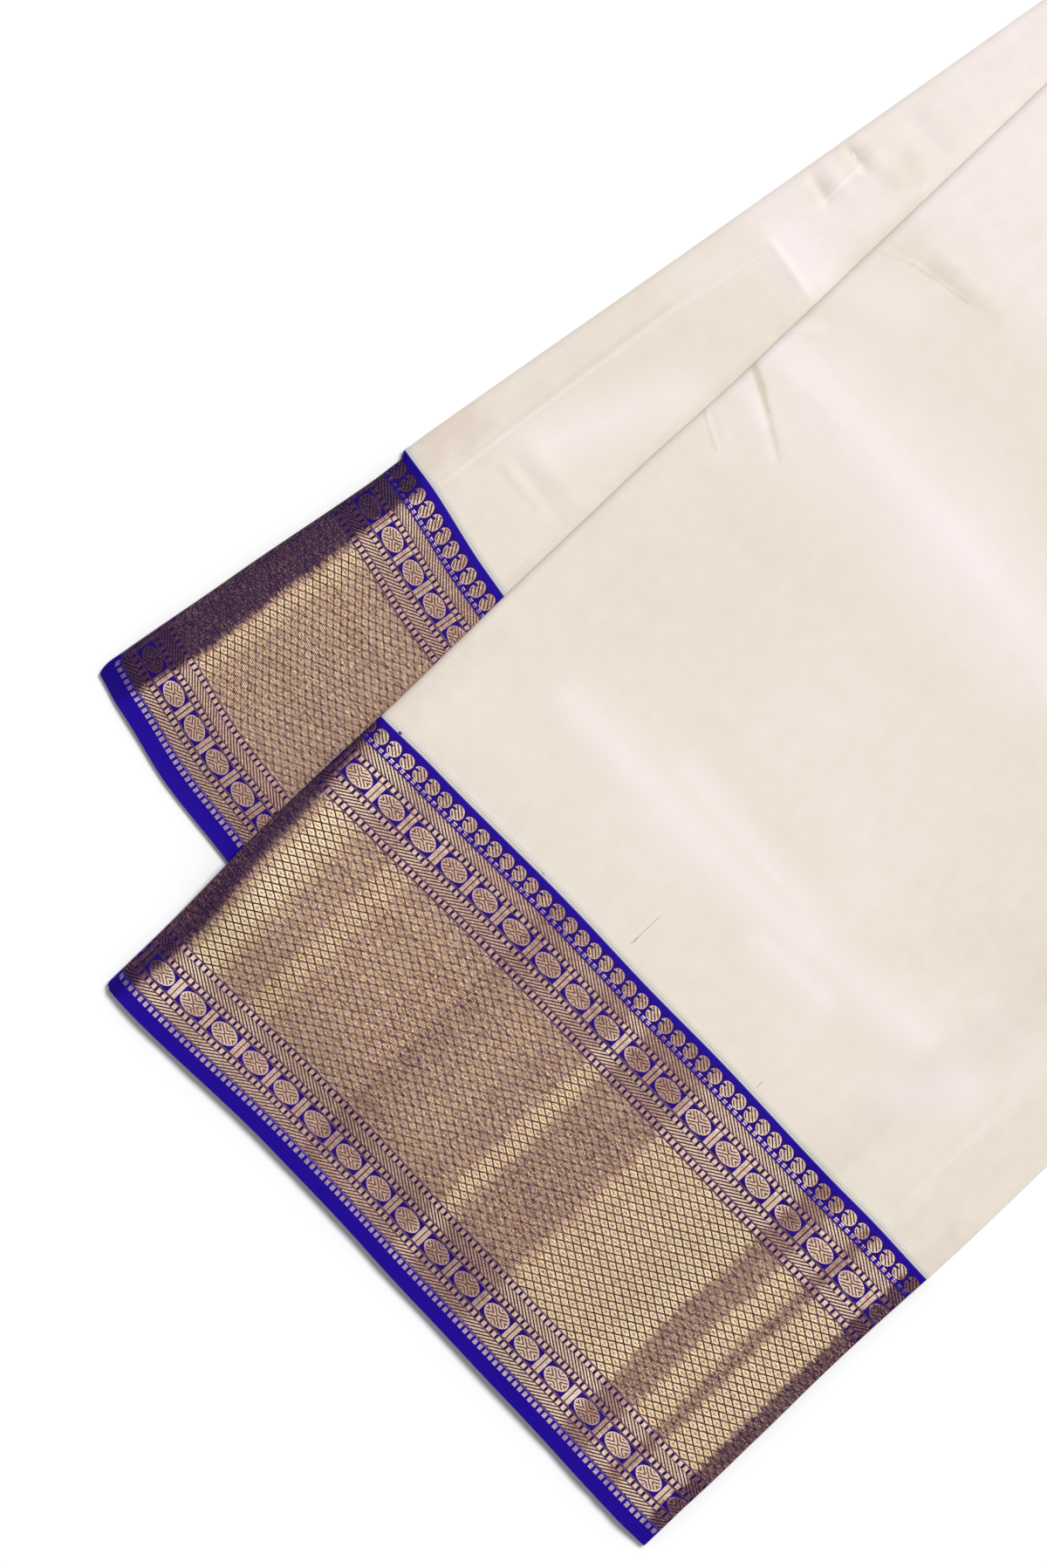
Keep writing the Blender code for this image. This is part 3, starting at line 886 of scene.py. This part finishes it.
def plug(tree, value, place):
    """Links a wire or a socket to a node's input, or sets the input to a number or a colour."""
    if isinstance(value, Wire):
        value = value.socket
    if isinstance(value, bpy.types.NodeSocket):
        tree.links.new(value, place)
    else:
        place.default_value = (*value, 1.0) if place.type == "RGBA" else value


def fill(node, inputs):
    """Links or sets a node's inputs, by their names."""
    for name, value in inputs.items():
        plug(node.id_data, value, node.inputs[name])


def pack(x, y, z=0.0):
    """A vector or a colour from wires."""
    node = x.tree.nodes.new("ShaderNodeCombineXYZ")
    for place, value in zip(node.inputs, (x, y, z)):
        plug(x.tree, value, place)
    return node.outputs[0]


def noise(x, y, detail=2.0):
    """Smooth noise from 0 to 1 at this place."""
    node = x.tree.nodes.new("ShaderNodeTexNoise")
    node.noise_dimensions = "2D"
    fill(node, {"Vector": pack(x, y), "Scale": 1.0, "Detail": detail})
    return Wire(x.tree, node.outputs["Fac"])


def thread_noise(x, y, shift=0.0):
    """A different number from 0 to 1 for each thread crossing."""
    node = x.tree.nodes.new("ShaderNodeTexWhiteNoise")
    node.noise_dimensions = "2D"
    fill(node, {"Vector": pack((x + shift).math("FLOOR"), y.math("FLOOR"))})
    return Wire(x.tree, node.outputs["Value"])


def mix(tree, share, low, high, blend="MIX"):
    """A colour between two, each a colour socket or a plain colour."""
    node = tree.nodes.new("ShaderNodeMix")
    node.data_type = "RGBA"
    node.blend_type = blend
    for i, value in ((0, share), (6, low), (7, high)):
        plug(tree, value, node.inputs[i])
    return node.outputs[2]


def ramp(share, stops):
    """A colour or grey read from stops: (share, colour or grey)."""
    node = share.tree.nodes.new("ShaderNodeValToRGB")
    elements = node.color_ramp.elements
    elements[0].position = stops[0][0]
    elements[1].position = stops[-1][0]
    for place, value in stops[1:-1]:
        elements.new(place)
    for element, (place, value) in zip(elements, stops):
        grey = isinstance(value, float)
        element.color = (value, value, value, 1.0) if grey else (*value, 1.0)
    share.tree.links.new(share.socket, node.inputs["Fac"])
    return node.outputs["Color"]


def new_material(name):
    """A material, its node tree, its shader and its weave in millimetres."""
    material = bpy.data.materials.new(name)
    material.use_nodes = True
    tree = material.node_tree
    uv = tree.nodes.new("ShaderNodeUVMap")
    uv.uv_map = "Weave"
    split = tree.nodes.new("ShaderNodeSeparateXYZ")
    tree.links.new(uv.outputs["UV"], split.inputs[0])
    across = Wire(tree, split.outputs["X"]) * 1000.0
    along = Wire(tree, split.outputs["Y"]) * 1000.0
    return material, tree, tree.nodes["Principled BSDF"], across, along


def in_rows(along, kind):
    """1 inside the border's rows of a kind, and how far each place is from its row's middle."""
    inside = offset = None
    for start, end, row_kind in BORDER_ROWS_MM:
        if row_kind == kind:
            here = along.within(start, end)
            from_middle = here * (along - (start + end) / 2)
            inside = inside + here if inside else here
            offset = offset + from_middle if offset else from_middle
    return inside, offset


def picks(across, along):
    """The light and dark of the weave's rows of dots, from -1 to 1."""
    row = (along * (2 * math.pi / PICK_MM)).math("SINE")
    dot = (across * (2 * math.pi / END_MM)).math("SINE")
    return row * 0.6 + dot * 0.4


def oval(x, y, centre_x, centre_y, half_x, half_y):
    """Less than 1 inside an oval, and more outside it."""
    return ((x - centre_x) / half_x).math("POWER", 2.0) + ((y - centre_y) / half_y).math("POWER", 2.0)


def twill(across, along, lean):
    """1 on the light threads of a twill."""
    return (across - along * lean).cycle(TWILL_MM).under(TWILL_SHARE)


def squares(across):
    """1 on the gold squares of a row."""
    return abs(across.cycle(SQUARE_MM) - 0.5).under(SQUARE_SHARE)


def slots(across, offset):
    """1 on the dark slots between a row's squares."""
    return abs(across.cycle(SQUARE_MM) - 0.5).over(SLOT_SHARE) * abs(offset).under(SLOT_REACH_MM)


def beads(across, offset):
    """The gold, the blue and the dark slots of a row of ovals between pairs of bars."""
    x = abs(across.from_middle(BEAD_MM))
    y = abs(offset)
    away = oval(x, y, 0.0, 0.0, *OVAL_MM).math("SQRT")
    inside = away.under(1.0)
    hatch = (y - x * OVAL_HATCH_SLOPE + HATCH_SHIFT_MM).cycle(OVAL_HATCH_MM).under(OVAL_HATCH_SHARE)
    bar = (x - BEAD_MM / 2) * -1.0
    bars = bar.within(*BAR_MM)
    ribs = offset.cycle(RIB_MM).over(0.2)
    gold = inside * (hatch.most(away.over(OVAL_RIM)) * 0.75 + 0.25) + bars * (ribs * 0.25 + 0.75)
    dots = offset.over(OVAL_DOTS_MM) * across.cycle(END_MM).under(0.5) * 0.7
    gap = bar.under(BAR_MM[0])
    ground = (inside + bars + gap).off()
    return gold.most(dots), ground * 0.6, ground.most(gap)


def paisleys(across, offset):
    """1 inside each paisley, and 1 on its gold threads."""
    x = across.from_middle(PAISLEY_MM)
    belly, head = (oval(x, offset, *part) for part in PAISLEY_PARTS_MM)
    shape = belly.least(head)
    bite = oval(x, offset - x * PAISLEY_BITE_SLOPE, *PAISLEY_BITE_MM)
    inside = shape.under(1.0) * bite.over(1.0)
    hatch = (offset + x * PAISLEY_HATCH_SLOPE + HATCH_SHIFT_MM).cycle(PAISLEY_HATCH_MM)
    threads = hatch.under(PAISLEY_HATCH_SHARE).most(shape.over(PAISLEY_RIM))
    return inside, inside * threads


def diamonds(across, along):
    """The dark lattice of the diamond field, its crossings, its centre dashes and how near they are."""
    rise = across / DIAMOND_MM[0] + along / DIAMOND_MM[1]
    fall = across / DIAMOND_MM[0] - along / DIAMOND_MM[1]
    p = abs(rise.math("FRACT") - 0.5)
    q = abs(fall.math("FRACT") - 0.5)
    lines = p.most(q).over(DIAMOND_LATTICE)
    crossing = p.least(q).soft(*DIAMOND_CROSSING)
    level = abs(rise.math("FRACT") + fall.math("FRACT") - 1.0)
    upright = abs(rise.math("FRACT") - fall.math("FRACT"))
    dash = (level / DIAMOND_DASH[0] + upright / DIAMOND_DASH[1]).under(1.0)
    middle = (level + upright * 0.6).soft(0.1, 0.6).off()
    return lines, crossing, dash, middle


class Threads:
    """How the border's threads differ from one another."""

    def __init__(self, across, along):
        column = across / THREAD_MM[0]
        row = along / THREAD_MM[1]
        self.grain = thread_noise(column, row) + thread_noise(column, row, 61.0) - 1.0
        self.tint = thread_noise(column, row, 37.0)
        self.row_grain = thread_noise(across * 0.0, row)
        self.column_grain = thread_noise(column, along * 0.0, 17.0)
        self.fine = picks(across, along)


class Motifs:
    """How gold, how blue and how much of a dark slot each place in the border is."""

    def __init__(self, across, along, tint):
        """The plain weave, and every row of motifs except the diamonds."""
        self.woven = along.within(*GOLD_GROUND_MM)
        self.gold = self.woven * tint.under(0.5) * 0.5
        self.blue = self.woven.off()
        self.slot = self.woven * 0.25
        self.rows = along * 0.0

        self.blocks, offset = in_rows(along, "blocks")
        block = squares(across) * abs(offset + 0.1).under(BLOCK_REACH_MM)
        self.lay(self.blocks, block * (abs(offset - 0.2).over(0.14) * 0.3 + 0.7), block.off())
        inside, _ = in_rows(along, "line")
        self.lay(inside, across.cycle(LINE_MM).under(0.5) * 0.5, 0.7)
        for kind, lean in TWILL_LEANS:
            inside, _ = in_rows(along, kind)
            self.lay_row(inside, twill(across, along, lean), 0.0)
        inside, offset = in_rows(along, "squares")
        block, gap = squares(across), slots(across, offset)
        self.lay_row(inside, block.most(tint.under(0.45) * 0.5) * gap.off(), 0.0, gap)
        self.half_tone = inside * (block + gap).off()
        inside, offset = in_rows(along, "beads")
        self.lay_row(inside, *beads(across, offset))
        inside, offset = in_rows(along, "pairs")
        self.lay(inside, squares(across) * abs(offset + 0.05).over(0.16), inside)
        inside, offset = in_rows(along, "paisleys")
        shape, threads = paisleys(across, offset)
        self.lay_row(inside, threads, shape.off() * 0.45, shape.off())

    def lay(self, inside, gold, blue, slot=0.0):
        """Puts a motif's gold, blue and slots over what is there."""
        outside = inside.off()
        self.gold = self.gold * outside + inside * gold
        self.blue = self.blue * outside + inside * blue
        self.slot = self.slot * outside + inside * slot

    def lay_row(self, inside, gold, blue, slot=0.0):
        """Lays a motif whose threads are painted with less sheen than the field's."""
        self.rows = self.rows + inside
        self.lay(inside, gold, blue, slot)

    def lay_field(self, across, along, dull):
        """Lays the wide field of diamonds, whose lattice is fainter where its painted sheen is dull."""
        self.field, _ = in_rows(along, "diamonds")
        self.lines, self.crossing, dash, self.middle = diamonds(across, along)
        dark = (self.lines * (dull * -0.25 + 1.0) + dash * 0.75).least(1.0)
        self.lay(self.field, dark.off(), 0.0)


def border_sheen(across, along, row_grain, sheen, lean):
    """How brightly the border's gold is painted as catching the light: its painted sheen, from a sheen
    table's stops, with painted streaks.
    """
    drift = noise(across * 0.02, along * 0.035) - 0.5
    step = thread_noise(across * 0.0, along / (DIAMOND_MM[1] / 2)) - 0.5
    left = (across / SHEEN_TURN_MM).least(1.0).off()
    ragged = (step * 1.6 + (row_grain - 0.5) * 1.4) * (left * -0.8 + 1.0)
    turn = left * (abs(along - SHEEN_TURN_MIDDLE_MM) * SHEEN_TURN_LEAN - 1.4)
    read_at = across - along * lean + turn + drift * 2.6 + ragged
    streak = noise(across * 0.012, along * 2.1, 3.0) - 0.5
    return Wire(across.tree, ramp(read_at / WIDTH_MM, sheen)) + streak * 0.16


def thread_light(across, along, motifs, threads, lit, dull):
    """How light the border's threads are painted, by their motif, their own grain and their painted sheen.
    """
    split = across.tree.nodes.new("ShaderNodeSeparateColor")
    plug(across.tree, ramp(lit, THREAD_LIGHTNESS), split.inputs[0])
    gold_light, ground_light, spread_of_light = (Wire(across.tree, socket) for socket in split.outputs)
    rows, gold = motifs.rows, motifs.gold
    plain = rows * -0.6 + 1.0
    pick = (along / (PICK_MM * 0.6)).math("FLOOR")
    missed = thread_noise(across * 0.0, pick, 5.0).over(0.95)
    missed = missed * noise(across * 0.03, pick * 7.3).over(0.5)
    light = ground_light + (gold_light - ground_light) * gold + rows * (gold - 0.55) * 0.2
    light = light + (threads.grain * 0.6 + threads.fine * 0.7) * spread_of_light * plain
    light = light + (threads.row_grain - 0.5) * 0.08 + (threads.column_grain - 0.5) * 0.05 - rows * 0.03
    light = light - missed * plain * (dull * 0.1 + 0.12)
    grid = along.cycle(DIAMOND_MM[1] / 2).under(0.24) * 0.13
    grid = grid + across.cycle(DIAMOND_MM[0] / 2).under(0.16) * 0.08
    return light + motifs.field * dull * (motifs.middle * 0.1 - motifs.crossing * 0.1 - grid)


def gold_colour(tree, colours, motifs, tint, lit, light):
    """The gold threads and the ground between them, painted from night to glint by their painted light and
    shade, warmer or yellower thread by thread, and amber in the dark threads where the field's painted
    sheen is bright.
    """
    colour = ramp(light, ((0.0, colours.night), (0.14, colours.dusk), (0.32, colours.umber),
                          (0.5, colours.brown), (0.68, colours.gold_dull),
                          (0.84, colours.gold), (1.0, colours.glint)))
    yellow = (tint * 0.6 + motifs.middle * motifs.field * 0.6).least(1.0)
    hue = mix(tree, yellow, linear(*WARM_TINT), linear(*YELLOW_TINT))
    colour = mix(tree, motifs.rows * -0.55 + 1.0, colour, mix(tree, 1.0, colour, hue, "MULTIPLY"))
    # Part of the painted sheen: the field's dark threads turn amber where the painted sheen is bright.
    lit_dark_threads = lit.soft(0.25, 0.6) * light.soft(0.2, 0.5).off() * motifs.field
    colour = mix(tree, lit_dark_threads, colour, mix(tree, 1.0, colour, linear(*AMBER_TINT), "MULTIPLY"))
    return mix(tree, motifs.blocks * 0.6, colour, colours.lilac)


def violet_share(across, along, motifs, tint, dull):
    """How much the blue threads show through the gold ones: at their crossings and between the rows, and
    more where the gold's painted sheen is dull.
    """
    row = thread_noise(across * 0.0, along / (DIAMOND_MM[1] / 2) + 0.5, 3.0)
    between = motifs.woven * (motifs.rows + motifs.field + motifs.blocks).least(1.0).off()
    violet = (tint.over(0.86) * 0.35 + motifs.lines * motifs.field * 0.2) * dull
    violet = violet + motifs.crossing * motifs.field * (row * 0.4 + 0.1)
    return violet.most(between * 0.65).most(motifs.half_tone * 0.6)


def border_material(name, colours, sheen, lean):
    """Silk with a woven gold border: its rows of motifs, and the painted sheen of its threads."""
    material, tree, shader, across, along = new_material(name)
    threads = Threads(across, along)
    motifs = Motifs(across, along, threads.tint)
    lit = border_sheen(across, along, threads.row_grain, sheen, lean)
    # Painted sheen: the rows of motifs are painted less bright than the field.
    lit = lit - (lit - 0.6).most(0.0) * motifs.rows * 0.65
    # How dull the painted sheen is.
    dull = lit.soft(0.5, 0.78).off()
    motifs.lay_field(across, along, dull)
    light = thread_light(across, along, motifs, threads, lit, dull)

    colour = gold_colour(tree, colours, motifs, threads.tint, lit, light)
    violet = violet_share(across, along, motifs, threads.tint, dull)
    colour = mix(tree, violet, colour, colours.violet)
    # Painted shade: where the painted sheen is lowest, the weave turns towards a dark violet.
    colour = mix(tree, lit.soft(0.08, 0.38).off() * 0.4, colour, colours.violet_shade)
    # The blue silk and the slots get painted shade where the painted sheen is low, mixed with each thread's
    # own grain.
    deep = lit.soft(0.0, 0.35) * 0.4 + 0.6
    value = (threads.grain * 0.16 + threads.fine * 0.12 + 1.0) * deep
    shade = pack(value, value, value)
    blueness = (motifs.blue * motifs.gold.least(1.0).off()).least(1.0)
    for share, silk in ((motifs.slot.least(1.0), colours.slot), (blueness, colours.selvedge)):
        colour = mix(tree, share, colour, mix(tree, 1.0, silk, shade, "MULTIPLY"))
    fill(shader, {"Base Color": colour, "Roughness": motifs.gold * -0.2 + 0.6, "Metallic": 0.1,
                  "Specular IOR Level": 0.06})
    add_bump(tree, shader, motifs.gold * 0.5 + threads.grain * 0.5, GOLD_RELIEF)
    return material


def add_bump(tree, shader, height, distance):
    """Raises the threads a little."""
    bump = tree.nodes.new("ShaderNodeBump")
    fill(bump, {"Distance": distance, "Strength": RELIEF_STRENGTH, "Height": height})
    tree.links.new(bump.outputs["Normal"], shader.inputs["Normal"])


def streaks(across, along, ragged, table):
    """How much a table's soft streaks of painted light and shade lighten the silk here, or darken it."""
    lighter, darker = across * 0.0, across * 0.0
    for from_along, from_across, to_along, to_across, half_width, strength in table:
        run_along, run_across = to_along - from_along, to_across - from_across
        squared = run_along ** 2 + run_across ** 2
        past = ((along - from_along) * (run_along / squared)
                + (across - from_across) * (run_across / squared)).most(0.0).least(1.0)
        aside_along = along - from_along - past * run_along
        aside_across = across - from_across - past * run_across
        away = (aside_along * aside_along + aside_across * aside_across).math("SQRT")
        reach = away + ragged * min(1.0, half_width / RAGGED_REACH)
        streak = reach.soft(half_width * -0.2, half_width * 2.1).off() * strength
        if strength > 0:
            lighter = lighter.most(streak)
        else:
            darker = darker.least(streak)
    return lighter + darker


def silk_material(name, colours, bands, glows, marks):
    """Cream silk with painted sheen bands and streaks of painted light and shade, and the ticked join where
    the border's warp is locked in.
    """
    material, tree, shader, across, along = new_material(name)
    cloud = noise(across * 0.011, along * 0.016, 3.0)
    patch = noise(across * 0.15, along * 0.12, 6.0) - 0.5
    wander = (noise(across * 0.014, along * 0.004) - 0.5) * 20.0
    # The silk's tone: painted sheen bands along it, random cloud and patches, and streaks of painted light
    # and shade, read from the silk's shaded, plain and lit colours.
    light = Wire(tree, ramp((along + wander) / SILK_BANDS_MM, bands))
    ragged = patch * RAGGED_MM
    tone = light + (cloud - 0.5) * 0.3 + patch * 0.2 + streaks(across, along, ragged, glows) * 0.35
    colour = ramp(tone, ((0.1, colours.silk_shade), (0.5, colours.silk), (0.85, colours.silk_light)))
    warp = across.cycle(WARP_MM).under(WARP_SHARE)
    weft = along.cycle(WEFT_MM).under(WEFT_SHARE)
    slub = (thread_noise(across / WARP_MM, along / WARP_SLUB_MM) * 0.5
            + thread_noise(across / WEFT_SLUB_MM, along / WEFT_MM) * 0.5)
    value = (warp + weft) * -0.018 + slub * 0.022 + 0.995
    colour = mix(tree, 1.0, colour, pack(value, value, value), "MULTIPLY")

    join = along.within(*JOIN_MM)
    in_join = along - (JOIN_MM[0] + JOIN_MM[1]) / 2
    tick_rows = in_join.under(JOIN_GAP_MM[0]) + in_join.over(JOIN_GAP_MM[1])
    tick = across.cycle(TICK_MM).under(TICK_SHARE) * tick_rows
    joined = mix(tree, tick * 0.9, linear(*JOIN_GROUND), colours.tick)
    colour = mix(tree, join, colour, joined)
    edge = along.under(JOIN_MM[0])
    colour = mix(tree, edge, colour, colours.selvedge)
    for middle_across, middle_along, half_across, half_along, mark in marks:
        here = (abs(across - middle_across).under(half_across)
                * abs(along - middle_along).under(half_along))
        colour = mix(tree, here, colour, linear(*mark))
    fill(shader, {"Base Color": colour, "Roughness": 0.5, "Specular IOR Level": 0.3,
                  "Sheen Weight": 0.08, "Sheen Roughness": 0.4})
    add_bump(tree, shader, warp * 0.5 + weft * 0.5, SILK_RELIEF)
    return material


def sheen_stops(table, stray_wave):
    """A ramp's stops in the weave from a table of millimetres from the left and brightness."""
    places = [place + 1000 * float(np.interp(place / 1000, *np.array(stray_wave).T)) for place, _ in table]
    return tuple((place / WIDTH_MM, bright) for place, (_, bright) in zip(places, table))


def finish(packet, kind):
    """The woven border or the cream silk of a packet, made once and then found by its name."""
    name = packet.name + ("_border_weave" if kind == "border" else "_silk")
    if name in bpy.data.materials:
        return bpy.data.materials[name]
    if kind == "border":
        sheen = sheen_stops(packet.sheen, packet.stray_wave)
        return border_material(name, packet.colours, sheen, packet.stray_lean)
    return silk_material(name, packet.colours, packet.silk_bands, packet.glows, packet.marks)


class DHOTI_OT_stage(bpy.types.Operator):
    """Lay the pale table, hang the lights and set the camera"""

    bl_idname = "dhoti.stage"
    bl_label = "Table, Lights and Camera"

    def execute(self, context):
        scene = context.scene
        bpy.ops.mesh.primitive_plane_add(size=FLOOR_SIZE, location=(0.0, 0.0, -FLOOR_DROP))
        floor = context.object
        floor.name = "table"
        material = bpy.data.materials.new("table")
        material.use_nodes = True
        shader = material.node_tree.nodes["Principled BSDF"]
        fill(shader, {"Base Color": scene.dhoti_colours.floor, "Roughness": FLOOR_ROUGHNESS,
                      "Specular IOR Level": 0.0})
        floor.data.materials.append(material)

        world = bpy.data.worlds.new("studio")
        scene.world = world
        world.use_nodes = True
        sky = world.node_tree.nodes["Background"]
        fill(sky, {"Color": (1.0, 1.0, 1.0), "Strength": SKY_STRENGTH})

        lamp = bpy.data.lights.new("softbox", "SUN")
        lamp.energy = LIGHT_STRENGTH
        lamp.angle = LIGHT_SPREAD
        softbox = bpy.data.objects.new("softbox", lamp)
        azimuth = FRAME_TURN + LIGHT_AZIMUTH
        towards = Vector((math.cos(azimuth) * math.cos(LIGHT_ELEVATION),
                          math.sin(azimuth) * math.cos(LIGHT_ELEVATION), math.sin(LIGHT_ELEVATION)))
        softbox.rotation_euler = towards.to_track_quat("Z", "Y").to_euler()
        softbox.location = towards
        scene.collection.objects.link(softbox)

        camera = bpy.data.cameras.new("camera")
        camera.lens = LENS
        camera.sensor_width = SENSOR
        eye = bpy.data.objects.new("camera", camera)
        distance = IMAGE_SIZE[1] * METRES_PER_PIXEL * LENS / SENSOR
        eye.location = (FRAME_CENTRE.x + ORIGIN.x, FRAME_CENTRE.y + ORIGIN.y, SHARP_HEIGHT + distance)
        eye.rotation_euler = (0.0, 0.0, FRAME_TURN)
        camera.clip_end = CLIP_END
        scene.collection.objects.link(eye)
        scene.camera = eye
        scene.view_settings.view_transform = "Standard"
        return {"FINISHED"}


class DHOTI_OT_upper_border(bpy.types.Operator):
    """Weave the border that shows at the upper hem"""

    bl_idname = "dhoti.upper_border"
    bl_label = "Upper Border"

    def execute(self, context):
        make_outer(UpperPacket(context.scene), "border", BORDER_STEP, (FINE, FINE, FINE))
        return {"FINISHED"}


class DHOTI_OT_upper_body(bpy.types.Operator):
    """Lay the cream silk of the upper half"""

    bl_idname = "dhoti.upper_body"
    bl_label = "Upper Body"

    def execute(self, context):
        make_outer(UpperPacket(context.scene), "body", WIDE, (FINE, MIDDLE, FINE))
        return {"FINISHED"}


class DHOTI_OT_upper_plies(bpy.types.Operator):
    """Fold the hidden plies of the upper half"""

    bl_idname = "dhoti.upper_plies"
    bl_label = "Upper Plies"

    def execute(self, context):
        upper = UpperPacket(context.scene)
        make_layers(upper, "border", HIDDEN_BORDER)
        make_layers(upper, "body", HIDDEN)
        return {"FINISHED"}


class DHOTI_OT_lower_border(bpy.types.Operator):
    """Weave the border that shows at the lower hem"""

    bl_idname = "dhoti.lower_border"
    bl_label = "Lower Border"

    def execute(self, context):
        make_outer(LowerPacket(context.scene), "border", BORDER_STEP, (MIDDLE, MIDDLE, FINE))
        return {"FINISHED"}


class DHOTI_OT_lower_body(bpy.types.Operator):
    """Lay the cream silk of the lower half"""

    bl_idname = "dhoti.lower_body"
    bl_label = "Lower Body"

    def execute(self, context):
        make_outer(LowerPacket(context.scene), "body", MIDDLE, (FINE, HIDDEN, FINE))
        return {"FINISHED"}


class DHOTI_OT_lower_plies(bpy.types.Operator):
    """Fold the hidden plies of the lower half"""

    bl_idname = "dhoti.lower_plies"
    bl_label = "Lower Plies"

    def execute(self, context):
        lower = LowerPacket(context.scene)
        make_layers(lower, "border", HIDDEN)
        make_layers(lower, "body", COARSE)
        return {"FINISHED"}


class DHOTI_OT_end_fold(bpy.types.Operator):
    """Turn the outer ply round at the end fold"""

    bl_idname = "dhoti.end_fold"
    bl_label = "End Fold"

    def execute(self, context):
        make_end_fold(UpperPacket(context.scene))
        return {"FINISHED"}


OPERATORS = (DHOTI_OT_stage, DHOTI_OT_upper_border, DHOTI_OT_upper_body, DHOTI_OT_upper_plies,
             DHOTI_OT_lower_border, DHOTI_OT_lower_body, DHOTI_OT_lower_plies, DHOTI_OT_end_fold)


class DHOTI_PT_panel(bpy.types.Panel):
    """The dhoti's sizes, colours and pieces"""

    bl_idname = "DHOTI_PT_panel"
    bl_label = "Folded Dhoti"
    bl_space_type = "VIEW_3D"
    bl_region_type = "UI"
    bl_category = "Dhoti"

    def draw(self, context):
        for group in (context.scene.dhoti_sizes, context.scene.dhoti_colours):
            column = self.layout.column()
            for name in group.__annotations__:
                column.prop(group, name)
        for operator in OPERATORS:
            self.layout.operator(operator.bl_idname)


CLASSES = (DhotiSizes, DhotiColours) + OPERATORS + (DHOTI_PT_panel,)


def register():
    for each in CLASSES:
        bpy.utils.register_class(each)
    bpy.types.Scene.dhoti_sizes = bpy.props.PointerProperty(type=DhotiSizes)
    bpy.types.Scene.dhoti_colours = bpy.props.PointerProperty(type=DhotiColours)


def unregister():
    del bpy.types.Scene.dhoti_colours
    del bpy.types.Scene.dhoti_sizes
    for each in reversed(CLASSES):
        bpy.utils.unregister_class(each)


def main():
    register()
    bpy.ops.dhoti.stage()
    bpy.ops.dhoti.lower_border()
    bpy.ops.dhoti.lower_body()
    bpy.ops.dhoti.lower_plies()
    bpy.ops.dhoti.upper_border()
    bpy.ops.dhoti.upper_body()
    bpy.ops.dhoti.upper_plies()
    bpy.ops.dhoti.end_fold()


if __name__ == "__main__":
    main()
